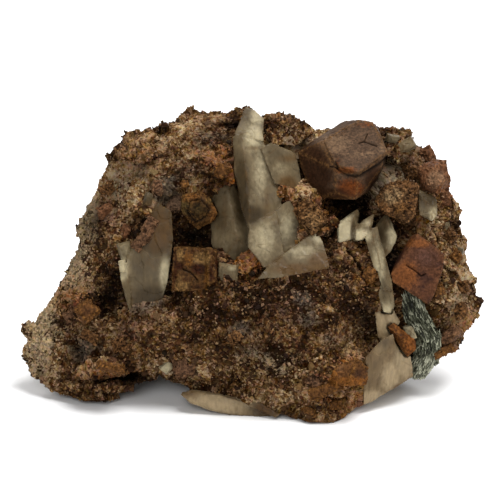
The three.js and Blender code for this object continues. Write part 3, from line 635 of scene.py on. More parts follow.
def makeRock(material, setPieces):
    piece = copyOf("massiveGarnet", "massive_garnet")
    remesh(piece, rock["voxel"])
    mesh = piece.data
    paintPatches(mesh, rockPatches)
    paintCracks(mesh, rockCracks)
    nearGround = 1 - softEdge(pointsOf(mesh)[:, 2] / mm, *rock["groundReach"])
    zones = maskOf(mesh, "grey") + maskOf(mesh, "pink") + maskOf(mesh, "olive")
    x, z = toFace(pointsOf(mesh)).T[:2]
    topEdge = rock["flatTopCalm"] * patchShare(x, z, rock["flatTop"])
    calm = np.maximum(np.maximum(rock["zoneCalm"] * zones, topEdge), rock["groundCalm"] * nearGround)
    setMask(mesh, "calm", np.clip(calm, 0, rock["mostCalm"]))
    runTree(piece, brokenGrainTree(), material, dict(rockSizes, **{"Set Pieces": setPieces}))
    stayAboveGround(piece.data)
    runModifier(piece, "DECIMATE", ratio=min(1, rock["triangles"] / countTriangles(piece)))
    shade(piece)
    finishPiece(piece, "massive_garnet", "massive_garnet")
    return piece


# Garnet crystals: flat faces with low growth steps, worn edges and small pits. Each has its
# piece's name, finish, voxel, step height, ripple and wear.
crystals = {
    "garnet_crystal_top": ("topGarnet", "dark", 0.16, 0.045, 0.06, 0.25),
    "garnet_crystal_right": ("rightGarnet", "red", 0.15, 0.04, 0.06, 0.3),
    "garnet_crystal_zoned": ("zonedGarnet", "zoned", 0.13, 0.05, 0.12, 0.5),
    "garnet_crystal_amber": ("amberGarnet", "amber", 0.14, 0.05, 0.18, 0.5),
    "garnet_crystal_lens": ("lensGarnet", "orange", 0.12, 0.04, 0.12, 0.3),
    "garnet_crystal_rust": ("rustGarnet", "rust", 0.14, 0.08, 0.25, 0.7),
    "garnet_crystal_shoulder": ("shoulderGarnet", "rose", 0.15, 0.08, 0.25, 0.7),
    "garnet_crystal_chunk": ("chunkGarnet", "brown", 0.15, 0.1, 0.35, 0.7),
}
crystalWear = {
    "spacing": 1.5, "riser": 0.16, "mostSteps": 2.0, "waverSize": 3.5, "waver": 7.0, "chipSize": 1.3,
    "ripples": ((2.4, 1.6), (0.8, 0.9), (0.35, 0.35)), "crackDepth": 0.3, "sharpAngle": 30, "specular": 0.04,
    "bump": (0.3, 0.08), "roughness": (0.3, 0.7, 0.42, 0.66), "cloudSize": 2.6,
    "cloud": (0.5, 0.7, 0.0, 0.75), "mottleSize": 0.5, "mottle": (0.25, 0.75, 0.6, 1.4),
    "wornRim": (0.35, 0.65, 0.1, 0.9), "speckMiddle": 0.45, "speckSway": 1.9, "unrest": 0.9,
    "zones": {"Milky": 0.75, "Warm": 0.8, "Deep": 0.85}, "zoneEdge": (0.2, 0.75),
}
# Each finish's deep colour also fills the painted shade of the deep patches further down, and its milky
# colour fills the painted highlights of the milky ones
crystalFinishes = {
    "dark": {
        "slot": "dark_garnet", "width": 0.25, "specks": 0.3, "lift": 0.0, "core": (0.056, 0.032, 0.018),
        "rim": (0.1, 0.048, 0.016), "deep": (0.017, 0.006, 0.002), "warm": (0.095, 0.023, 0.003),
        "milky": (0.108, 0.065, 0.036),
    },
    "red": {
        "slot": "red_garnet", "width": 0.22, "specks": 0.25, "lift": 0.0, "core": (0.058, 0.023, 0.011),
        "rim": (0.105, 0.045, 0.017), "deep": (0.02, 0.009, 0.007), "warm": (0.11, 0.037, 0.01),
        "milky": (0.052, 0.025, 0.018),
    },
    "zoned": {
        "slot": "brown_garnet", "width": 0.3, "specks": 0.7, "lift": 0.12, "core": (0.042, 0.018, 0.005),
        "rim": (0.08, 0.038, 0.011), "deep": (0.015, 0.008, 0.002), "warm": (0.078, 0.03, 0.007),
        "milky": (0.056, 0.04, 0.014),
    },
    "amber": {
        "slot": "amber_garnet", "width": 0.25, "specks": 0.5, "lift": 0.1, "core": (0.038, 0.017, 0.005),
        "rim": (0.09, 0.045, 0.013), "deep": (0.014, 0.003, 0.001), "warm": (0.072, 0.028, 0.005),
        "milky": (0.12, 0.066, 0.022),
    },
    "orange": {
        "slot": "red_garnet", "width": 0.4, "specks": 0.4, "lift": 0.06, "core": (0.052, 0.017, 0.004),
        "rim": (0.13, 0.052, 0.013), "deep": (0.022, 0.007, 0.004), "warm": (0.1, 0.03, 0.006),
        "milky": (0.1, 0.06, 0.03),
    },
    "rust": {
        "slot": "red_garnet", "width": 0.35, "specks": 0.4, "lift": 0.08, "core": (0.06, 0.025, 0.008),
        "rim": (0.14, 0.062, 0.015), "deep": (0.024, 0.01, 0.005), "warm": (0.115, 0.04, 0.007),
        "milky": (0.09, 0.044, 0.02),
    },
    "rose": {
        "slot": "red_garnet", "width": 0.3, "specks": 0.5, "lift": 0.1, "core": (0.082, 0.034, 0.015),
        "rim": (0.14, 0.07, 0.034), "deep": (0.03, 0.013, 0.008), "warm": (0.11, 0.038, 0.011),
        "milky": (0.14, 0.082, 0.046),
    },
    "brown": {
        "slot": "brown_garnet", "width": 0.3, "specks": 0.95, "lift": 0.3, "core": (0.058, 0.026, 0.009),
        "rim": (0.125, 0.062, 0.024), "deep": (0.016, 0.008, 0.004), "warm": (0.125, 0.056, 0.014),
        "milky": (0.13, 0.088, 0.044),
    },
    "purple": {
        "slot": "dark_garnet", "width": 0.25, "specks": 0.7, "lift": 0.16, "core": (0.076, 0.038, 0.02),
        "rim": (0.112, 0.057, 0.025), "deep": (0.036, 0.017, 0.009), "warm": (0.088, 0.036, 0.012),
        "milky": (0.092, 0.056, 0.034),
    },
}

# Where the crystals change colour, and their cracks, on the display face, with painted shade and painted
# highlights among them
crystalPatches = {
    "warm": [
        (22.2, 27.2, 1.8, 0.9, 0.55), (18, 18.2, 1.8, 0.6), (18.8, 14.8, 2.4, 1.6),
        (16.4, 19.6, 0.6, 0.8, 0.5), (29, -1.6, 2.6, 2.6), (31.5, 4.4, 3, 0.8), (-11.6, 13, 1.6, 0.9),
        (-7.2, 10, 0.8, 1.8), (-11.8, 1.4, 0.7, 1.4), (-8.4, -2.4, 0.6, 2.2), (-15, -2.4, 0.5, 1.8),
        (28.6, 9.6, 1.4, 2.6, 0.7), (12.4, 9.6, 3, 3.6, 0.42), (36.2, 12.6, 0.8, 3), (18.4, -22, 3.6, 1),
        (15.4, -21, 1.2, 1.4), (30.6, -15, 1.2, 1.8),
    ],
    "deep": [
        # Darker crystal colour, and painted shade on faces turned from the light, such as the top crystal's
        # left face and its underside
        (11.4, 17.6, 3, 4.6, 1.5), (14.8, 13.6, 4, 1.4), (24, 16.4, 2.2, 2.2, 1.2), (27.6, 2.6, 1.4, 2.6),
        (35.4, -7, 2, 1.6), (-9.9, 10.6, 2.1, 1.9), (-9.9, -0.5, 1.3, 1), (-13.7, 0, 0.9, 0.7),
        (-7, -1.4, 0.8, 3, 1.3), (-12.6, -2.6, 1.2, 0.6, 0.7), (26.2, 5.8, 1.6, 1.2),
        (20.2, -20.2, 1.2, 1, 0.7), (-14.9, 0.4, 0.7, 3.6, 1.4), (29, 9, 1.6, 1.6, 0.9), (27.6, 8, 1, 1),
        (-10.2, -4, 1.4, 0.6, 0.6),
    ],
    "milky": [
        # Milky crystal colour, and painted highlights on the amber crystal
        (15.8, 23.4, 2.8, 1.6, 1.1), (21, 21.2, 3.4, 1, 0.5), (25, 22.4, 1, 1.8, 0.6),
        (33.4, 1.8, 2.6, 2.2, 0.6), (-9.2, 1.4, 2, 1.1), (-13.7, 2.2, 0.8, 1.1), (-8, 12.4, 1, 0.8, 0.6),
        (-10.1, 10.9, 1, 1, 0.8), (35.4, 16.6, 1.6, 1.6), (16.6, -19.2, 1, 0.8, 0.7),
        (-14.6, 12.2, 2.6, 2.6, 1.3), (12, 8.6, 2.8, 3.4, 0.5), (27, 13.4, 2.4, 1.8, 0.7),
        (-13.2, -3.4, 1.3, 1.2, 1.1),
    ],
}
crystalCracksAndLipShadow = [
    (0.13, (20.5, 23.4), (21.5, 23.7), (23.9, 22.8)), (0.09, (21.5, 23.7), (22.2, 25.2)),
    # This line, the next one and the last one are painted shadow under the raised lip of the top crystal,
    # also cut in as a shallow groove
    (0.2, (16, 19.8), (16.4, 18.5), (18, 17.3), (19.8, 16.9)),
    (0.1, (14.9, 18.9), (15.8, 18.9), (16.4, 18.5)),
    (0.14, (29.6, 0.2), (31.3, -0.9), (32.4, -1.9), (33.2, -1.5)),
    (0.12, (-12.9, -0.6), (-11.4, -1.2), (-10.2, -2.6)),
    (0.26, (-11.6, 12.6), (-9.6, 12.8), (-7.8, 10.9), (-8.6, 9.3), (-10.6, 8.3),
     (-12.3, 10.3), (-11.6, 12.6)),
    (0.3, (18.4, 17.2), (20.8, 17.2), (24.4, 19.4), (26.8, 21.4)),
]


# Rims are the edges of the plain shape that are sharper than the angle (radians). They chip where
# they are weak, and less and less inwards. Crystals and calcite both have them.
rims = {"angle": 0.3, "weak": (0.46, 0.62), "fade": -2.2}


def startRimmedShape(tree, entry):
    place, geometry = startShape(tree, entry)
    bend = addNode(tree, "GeometryNodeInputMeshEdgeAngle").outputs["Unsigned Angle"]
    sharp = addNode(tree, "FunctionNodeCompare", {"A": bend, "B": rims["angle"]}, operation="GREATER_THAN")
    sockets = {"Geometry": objectShape(tree, entry["Shape"]), "Selection": sharp.outputs[0]}
    edges = addNode(tree, "GeometryNodeSeparateGeometry", sockets, domain="EDGE").outputs["Selection"]
    distance = calc(tree, "DIVIDE", nearestOn(tree, edges, place, "EDGES")["Distance"], mm)
    return place, store(tree, geometry, "rim", distance), named(tree, "rim")


def chippedRims(tree, place, rim, size, depth):
    weak = spread(tree, noiseOf(tree, place, size, detail=3.0), *rims["weak"])
    reach = calc(tree, "EXPONENT", times(tree, rim, rims["fade"]))
    return times(tree, times(tree, weak, reach), depth)


def crystalTree():
    sizes = ["Step Height", "Step Spacing", "Wear", "Ripple", "Crack Depth", "Grain Lift"]
    tree, entry = shapeTree("growthSteps", sizes, ["Shape"])
    place, geometry, rim = startRimmedShape(tree, entry)
    waver = minus(tree, noiseOf(tree, place, crystalWear["waverSize"], detail=3.0), 0.5)
    layer = timesPlus(tree, waver, crystalWear["waver"], rim)
    layer = calc(tree, "DIVIDE", layer, entry["Step Spacing"])
    rise = spread(tree, calc(tree, "FRACT", layer), 0.0, crystalWear["riser"])
    steps = calc(tree, "ADD", calc(tree, "FLOOR", layer), rise)
    steps = calc(tree, "MINIMUM", calc(tree, "MAXIMUM", steps, 0.0), crystalWear["mostSteps"])
    height = times(tree, steps, entry["Step Height"])
    height = minus(tree, height, chippedRims(tree, place, rim, crystalWear["chipSize"], entry["Wear"]))
    for size, share in crystalWear["ripples"]:
        wave = times(tree, minus(tree, noiseOf(tree, place, size), 0.5), share)
        height = timesPlus(tree, wave, entry["Ripple"], height)
    bent = warped(tree, place)
    for key in ("grain", "fine"):
        lumps = facets(tree, bent, key, entry["Grain Lift"], entry["Grain Lift"])
        height = calc(tree, "ADD", height, lumps)
    return raisedBy(tree, entry, geometry, lessCracks(tree, entry, height))


def crystalColourGroup():
    labels = ("Core", "Rim", "Deep", "Warm", "Milky")
    group, entry = colourGroup("crystalColour", labels, ("Rim Width", "Specks"))
    place = attribute(group, "place", "Vector")
    cloud = noiseOf(group, place, crystalWear["cloudSize"], detail=5.0, roughness=0.6)
    mottle = noiseOf(group, place, crystalWear["mottleSize"], detail=4.0, roughness=0.65)
    unrest = times(group, minus(group, mottle, 0.5), crystalWear["unrest"])
    cloud = spread(group, cloud, *crystalWear["cloud"])
    colour = mixColour(group, cloud, entry["Core"], entry["Deep"])
    colour = overZones(group, entry, colour, unrest, crystalWear)
    inwards = calc(group, "DIVIDE", attribute(group, "rim"), entry["Rim Width"])
    closeness = calc(group, "EXPONENT", times(group, inwards, -1.0))
    worn = times(group, closeness, spread(group, mottle, *crystalWear["wornRim"]))
    colour = mixColour(group, worn, colour, entry["Rim"])
    colour = brightened(group, colour, spread(group, mottle, *crystalWear["mottle"]))
    luck = minus(group, cellLuck(group, warped(group, place), "speck"), crystalWear["speckMiddle"])
    luck = times(group, luck, crystalWear["speckSway"])
    colour = brightened(group, colour, timesPlus(group, luck, entry["Specks"], 1.0))
    colour = darkenedBy(group, colour, "crack")
    return endGroup(group, colour, spread(group, mottle, *crystalWear["roughness"]), mottle)


def crystalMaterial(finish, group):
    material, tree, surface = newMaterial(finish + " garnet", crystalWear["specular"])
    look = crystalFinishes[finish]
    values = {key.title(): look[key] for key in ("core", "rim", "deep", "warm", "milky", "specks")}
    useGroup(tree, surface, group, dict(values, **{"Rim Width": look["width"]}), *crystalWear["bump"])
    return material


# The piece comes in with the plain shape of its crystals and leaves as their worn surface.
def dressPiece(piece, tree, material, voxel, sizes, patches, cracks=()):
    shape = newObject(piece.name + "Shape", piece.data.copy())
    remesh(piece, voxel)
    paintPatches(piece.data, patches)
    paintCracks(piece.data, cracks)
    runTree(piece, tree, material, dict(sizes, Shape=shape))
    bpy.data.objects.remove(shape)
    stayAboveGround(piece.data)


def dressCrystal(piece, finish, voxel, step, ripple, wear, *replaced):
    look = crystalFinishes[finish]
    sizes = {
        "Step Height": step, "Step Spacing": crystalWear["spacing"], "Wear": wear, "Ripple": ripple,
        "Crack Depth": crystalWear["crackDepth"], "Grain Lift": look["lift"],
    }
    material = garnetMaterials[finish]
    dressPiece(piece, growthSteps, material, voxel, sizes, crystalPatches, crystalCracksAndLipShadow)
    shade(piece, crystalWear["sharpAngle"])
    finishPiece(piece, look["slot"], *replaced)


# Calcite: blades and slabs with flat, slightly stepped cleavage faces. Each has its piece's
# name, finish, voxel and the size of its cleavage blocks.
calciteParts = {
    "calcite_blades_middle": ("middleBlades", "grey", 0.18, (2.6, 2.2, 7.0)),
    "calcite_slab_left": ("leftSlab", "grey", 0.15, (4.0, 3.0, 6.0)),
    "calcite_blades_right": ("rightBlades", "grey", 0.12, (1.6, 1.6, 4.5)),
    "calcite_chip": ("shoulderChip", "grey", 0.15, (1.5, 1.5, 2.5)),
    "calcite_corner": ("cornerMass", "stained", 0.2, (2.4, 2.8, 4.6)),
    "calcite_foot": ("footSlab", "stained", 0.2, (5.0, 3.0, 3.0)),
}
calciteWear = {
    "turn": (0.1, 0.2, 0.3), "step": 0.13, "stepMiddle": 0.6, "wave": 0.25, "waveSize": 5.0, "wear": 0.18,
    "chipSize": 1.8, "sharpAngle": 20, "specular": 0.09, "bump": (0.12, 0.08), "inside": 0.25,
    "insideReach": (1.0, 0.85, 0.6), "insideScale": 1.0, "roughness": (0.3, 0.7, 0.26, 0.46),
    "cloudSize": 4.5, "cloud": (0.22, 0.78), "mottleSize": 0.9, "mottle": (0.25, 0.75, 0.92, 1.08),
    "unrest": 0.35, "seamSize": 6.5, "seam": (0.0, 0.03, 0.5, 0.0), "rimStain": -4.0, "stainSize": 2.2,
    "stain": (0.45, 0.62), "streakSize": 0.6, "streak": (0.3, 0.7, 0.88, 1.12),
    "streakStretch": (1, 1, 0.22),
    "zones": {"Bright": 0.95, "Dim": 0.8, "Brown": 0.85}, "zoneEdge": (0.12, 0.8),
}
# Each finish's bright and dim colours fill the patches further down, which carry painted light and painted
# shade as well as paler and darker calcite
calciteFinishes = {
    "grey": {
        "slot": "calcite", "stain": 0.7, "clear": (0.06, 0.044, 0.024), "milky": (0.122, 0.09, 0.048),
        "bright": (0.322, 0.272, 0.168), "dim": (0.026, 0.0155, 0.006), "brown": (0.064, 0.032, 0.009),
    },
    "stained": {
        "slot": "stained_calcite", "stain": 0.6, "clear": (0.09, 0.059, 0.029),
        "milky": (0.15, 0.103, 0.051), "bright": (0.26, 0.195, 0.112), "dim": (0.052, 0.038, 0.022),
        "brown": (0.06, 0.028, 0.009),
    },
}

# Where the calcite is pale, dim or stained on the display face, with painted light and painted shade among
# them
calcitePatches = {
    # Paler calcite, and painted light on lit blade tops and on chips and the foot that lie in shade
    "bright": [
        (0.6, 24.6, 2, 2.6, 0.75), (1.8, 18, 1.5, 5, 0.5), (2.4, 5.4, 2.4, 4, 0.52),
        (9.8, 2.8, 4, 1.6, 0.46), (1.2, 28.6, 1.4, 1.8, 0.7), (12.8, 5.8, 1.2, 1.4, 0.8),
        (17.6, 7.4, 1.5, 3.2), (20.9, 5.8, 1.8, 1.2), (22, 8.2, 1.4, 1.2, 0.4), (34.9, 9.6, 1, 1.6, 0.7),
        (-16.4, -2, 0.9, 3.4), (-18, 12, 0.7, 2, 0.3), (26.8, -21.4, 1.6, 2.8), (23, -25, 3, 1.4, 0.8),
        (5.6, 18.6, 2.2, 1.8, 0.3), (6.8, 7.6, 1.6, 3.2, 0.52), (-24.6, -0.4, 1.2, 2),
        (-24, 3, 1.4, 2, 0.35), (30.6, -12.6, 2, 2.4, 1.4), (26.2, -10.2, 2, 2.6),
        (24.3, 0.4, 1.2, 4.6, 0.62), (24.6, -15.6, 1.6, 2, 0.3), (-4.6, 3, 1.4, 2.2, 0.25),
        (27.2, 6, 1.2, 2.8, 0.7), (-15.9, -19.2, 2, 2, 1.5), (-6, -26.4, 9, 2.4, 0.75),
        (29.4, -18, 2, 3.2, 1), (-3.6, -0.4, 0.8, 0.5, 0.6),
    ],
    # Painted shade on the shaded sides and lower parts of the blades and the left slab, with some darker
    # calcite
    "dim": [
        (-1.8, 14.6, 1.3, 5.4, 1.3), (-19, -6.6, 3.8, 3, 1.1), (19.4, 6.4, 0.45, 2.2, 1.3),
        (-4.6, -2.4, 2, 2.4, 0.4), (-20.6, 1, 2.4, 4, 0.55), (-0.4, 9.8, 2.8, 1.8), (29, -8.2, 1.8, 2),
        (25.4, -14.6, 1.4, 1.6, 0.5), (33.9, 13, 2, 1.6), (-5.6, 8.4, 1.8, 2.6, 0.7),
        (14.4, 2, 0.9, 1.8, 0.5), (-18.4, 7.8, 3.6, 4.6, 1.4), (2.8, -27.4, 3, 2, 0.9),
        (24.8, 5.6, 0.7, 2.6, 0.7), (20.4, 9.4, 1, 1.4, 0.6),
    ],
    "brown": [
        (-1, 29.4, 2.4, 1.4, 0.25), (7.6, 20.6, 2.4, 0.9, 0.6), (7, 15.6, 1.8, 1.6), (9, -0.6, 4.8, 1.1),
        (26, 8, 1, 1.2, 0.5), (-20.6, 3.2, 1.6, 0.8, 0.4), (21.6, -16, 1.8, 3, 0.6), (0, 0.2, 1.6, 1.2),
        (28.2, -23.4, 1, 0.8), (3, 12, 0.7, 3.6, 0.5), (-5, 10.6, 0.7, 4, 0.4),
        (-11.4, -24.4, 1.6, 0.8, 0.5), (0.6, 22.6, 1.8, 0.5, 0.6), (2.6, 26.4, 0.6, 2, 0.5),
        (-19.6, -8.8, 3, 1, 0.4), (13.6, 0.8, 2.4, 1.8, 1.3), (-17.6, 7, 2.8, 4.6, 0.85),
        (5.4, 0.6, 2, 1.4, 0.5), (3.2, -27, 3, 1.6, 0.8), (20.4, -4.4, 1.6, 1),
    ],
}


def cleavageTree():
    tree, entry = shapeTree("cleavage", ["Turn", "Cell", "Step Height", "Wave", "Wear"], ["Shape"])
    place, geometry, rim = startRimmedShape(tree, entry)
    turned = turnedBy(tree, warped(tree, place), entry["Turn"])
    blocks = vec(tree, "DIVIDE", turned, along(tree, entry["Cell"], mm))
    cells = cellsOf(tree, blocks, 1.0, distance="CHEBYCHEV")
    level = minus(tree, vec(tree, "DOT_PRODUCT", cells["Color"], (1, 0, 0)), calciteWear["stepMiddle"])
    height = times(tree, level, entry["Step Height"])
    wave = minus(tree, noiseOf(tree, place, calciteWear["waveSize"], detail=1.0), 0.5)
    height = timesPlus(tree, wave, entry["Wave"], height)
    height = minus(tree, height, chippedRims(tree, place, rim, calciteWear["chipSize"], entry["Wear"]))
    return raisedBy(tree, entry, geometry, height)


def calciteColourGroup():
    labels = ("Clear", "Milky", "Bright", "Dim", "Brown")
    group, entry = colourGroup("calciteColour", labels, ("Stain Amount",))
    place = attribute(group, "place", "Vector")
    cloud = noiseOf(group, place, calciteWear["cloudSize"], detail=4.0)
    mottle = noiseOf(group, place, calciteWear["mottleSize"], detail=4.0, roughness=0.55)
    unrest = times(group, minus(group, mottle, 0.5), calciteWear["unrest"])
    cloud = spread(group, cloud, *calciteWear["cloud"])
    colour = mixColour(group, cloud, entry["Clear"], entry["Milky"])
    colour = overZones(group, entry, colour, unrest, calciteWear)
    scale = 1 / (calciteWear["seamSize"] * mm)
    seam = cellsOf(group, warped(group, place), scale, feature="DISTANCE_TO_EDGE")["Distance"]
    line = spread(group, seam, *calciteWear["seam"])
    edge = calc(group, "EXPONENT", times(group, attribute(group, "rim"), calciteWear["rimStain"]))
    patchy = noiseOf(group, place, calciteWear["stainSize"], detail=4.0, roughness=0.6)
    patchy = spread(group, patchy, *calciteWear["stain"])
    stain = times(group, calc(group, "MAXIMUM", line, edge), patchy)
    colour = mixColour(group, times(group, stain, entry["Stain Amount"]), colour, entry["Brown"])
    drawnOut = vec(group, "MULTIPLY", place, calciteWear["streakStretch"])
    streaks = noiseOf(group, drawnOut, calciteWear["streakSize"], detail=3.0)
    colour = brightened(group, colour, spread(group, streaks, *calciteWear["streak"]))
    colour = brightened(group, colour, spread(group, mottle, *calciteWear["mottle"]))
    return endGroup(group, colour, spread(group, streaks, *calciteWear["roughness"]), mottle)


def calciteMaterial(finish, group):
    material, tree, surface = newMaterial(finish + " calcite", calciteWear["specular"])
    look = calciteFinishes[finish]
    values = {key.title(): look[key] for key in ("clear", "milky", "bright", "dim", "brown")}
    useGroup(tree, surface, group, dict(values, **{"Stain Amount": look["stain"]}), *calciteWear["bump"])
    surface["Subsurface Weight"].default_value = calciteWear["inside"]
    surface["Subsurface Radius"].default_value = calciteWear["insideReach"]
    surface["Subsurface Scale"].default_value = calciteWear["insideScale"] * mm
    return material


def dressCalcite(piece, finish, voxel, cell, *replaced):
    sizes = {
        "Turn": calciteWear["turn"], "Cell": cell, "Step Height": calciteWear["step"],
        "Wave": calciteWear["wave"], "Wear": calciteWear["wear"],
    }
    dressPiece(piece, cleavage, calciteMaterials[finish], voxel, sizes, calcitePatches)
    shade(piece, calciteWear["sharpAngle"])
    finishPiece(piece, calciteFinishes[finish]["slot"], *replaced)


# Amphibole: a dark core covered with fine needles that follow the band
amphibole = {
    "line": [(30.2, -5.4), (31.6, -9.4), (34, -13.6), (33.6, -17.6), (31.8, -20.8)],
    "colours": [
        (0.0, (0.007, 0.007, 0.0035)), (0.35, (0.028, 0.029, 0.016)), (0.65, (0.106, 0.11, 0.071)),
        (1.0, (0.42, 0.42, 0.31)),
    ],
    "tone": {"size": 2.2, "cloud": 1.7, "base": -0.79, "needle": 0.85, "foot": 0.3, "footReach": (4, 14)},
    "needle": {"Vertices": 5, "Radius Top": 0.12, "Radius Bottom": 0.5, "Depth": 1.0},
    "thinnest": 0.6, "thickest": 1.5, "seeds": {"aim": 21, "width": 22, "length": 23, "tint": 24},
    "voxel": 0.3, "coreTint": 0.12, "specular": 0.18, "roughness": (0.3, 0.7, 0.3, 0.5), "sharpAngle": 40,
}
fibreSizes = {
    "Density": 9.0, "Shortest": 0.9, "Longest": 2.6, "Thickness": 0.22, "Spread": 0.2, "Seed": 11,
}


def fibreTree():
    tree, entry = shapeTree("fibres", fibreSizes)
    seeds = amphibole["seeds"]
    density = calc(tree, "DIVIDE", entry["Density"], mm * mm)
    sockets = {"Mesh": entry["Geometry"], "Density": density, "Seed": entry["Seed"]}
    points = addNode(tree, "GeometryNodeDistributePointsOnFaces", sockets, distribute_method="RANDOM")
    needle = addNode(tree, "GeometryNodeMeshCone", amphibole["needle"], fill_type="NGON").outputs["Mesh"]
    sockets = {"Geometry": needle, "Translation": (0, 0, -amphibole["needle"]["Depth"] / 2)}
    centred = addNode(tree, "GeometryNodeTransform", sockets).outputs[0]
    stray = along(tree, randomValue(tree, (-1, -1, -1), (1, 1, 1), seeds["aim"]), entry["Spread"])
    aim = vec(tree, "ADD", named(tree, "fibreDirection", "FLOAT_VECTOR"), stray)
    turn = addNode(tree, "FunctionNodeAlignRotationToVector", {"Vector": aim}, axis="Z").outputs[0]
    thinnest, thickest = amphibole["thinnest"] * mm, amphibole["thickest"] * mm
    width = times(tree, entry["Thickness"], randomValue(tree, thinnest, thickest, seeds["width"]))
    shortest, longest = (times(tree, entry[label], mm) for label in ("Shortest", "Longest"))
    sockets = {"X": width, "Y": width, "Z": randomValue(tree, shortest, longest, seeds["length"])}
    scale = addNode(tree, "ShaderNodeCombineXYZ", sockets).outputs[0]
    sockets = {"Points": points.outputs[0], "Instance": centred, "Rotation": turn, "Scale": scale}
    needles = addNode(tree, "GeometryNodeInstanceOnPoints", sockets).outputs[0]
    tint = randomValue(tree, 0.0, 1.0, seeds["tint"])
    tinted = store(tree, needles, "tint", tint, domain="INSTANCE")
    core = store(tree, entry["Geometry"], "tint", amphibole["coreTint"])
    joined = addNode(tree, "GeometryNodeJoinGeometry")
    plug(tree, core, joined.inputs[0])
    plug(tree, tinted, joined.inputs[0])
    return endTree(tree, entry, joined.outputs[0])


def amphiboleMaterial():
    material, tree, surface = newMaterial("amphibole", amphibole["specular"])
    place = addNode(tree, "ShaderNodeTexCoord").outputs["Object"]
    moves = amphibole["tone"]
    cloud = noiseOf(tree, place, moves["size"], detail=3.0)
    tone = timesPlus(tree, cloud, moves["cloud"], moves["base"])
    tone = timesPlus(tree, attribute(tree, "tint"), moves["needle"], tone)
    low = addNode(tree, "ShaderNodeSeparateXYZ", {"Vector": place}).outputs["Z"]
    reach = [height * mm for height in moves["footReach"]]
    tone = calc(tree, "ADD", tone, spread(tree, low, *reach, moves["foot"], 0.0))
    plug(tree, ramp(tree, tone, amphibole["colours"]), surface["Base Color"])
    plug(tree, spread(tree, cloud, *amphibole["roughness"]), surface["Roughness"])
    return material


def makeAmphibole(material):
    piece = copyOf("amphiboleSpray", "amphibole_spray")
    remesh(piece, amphibole["voxel"])
    x, z = toFace(pointsOf(piece.data)).T[:2]
    line = np.array(amphibole["line"])
    middles = (line[1:] + line[:-1]) / 2
    steps = line[:-1] - line[1:]
    nearest = np.argmin((x[:, None] - middles[:, 0]) ** 2 + (z[:, None] - middles[:, 1]) ** 2, axis=1)
    direction = steps[nearest] / np.linalg.norm(steps[nearest], axis=1)[:, None]
    world = np.ascontiguousarray(direction @ faceAxes[:2], dtype=np.float32)
    layer = piece.data.attributes.new("fibreDirection", "FLOAT_VECTOR", "POINT")
    layer.data.foreach_set("vector", world.ravel())
    runTree(piece, fibreTree(), material, fibreSizes)
    stayAboveGround(piece.data)
    shade(piece, amphibole["sharpAngle"])
    finishPiece(piece, "amphibole", "amphibole_spray")
    return piece


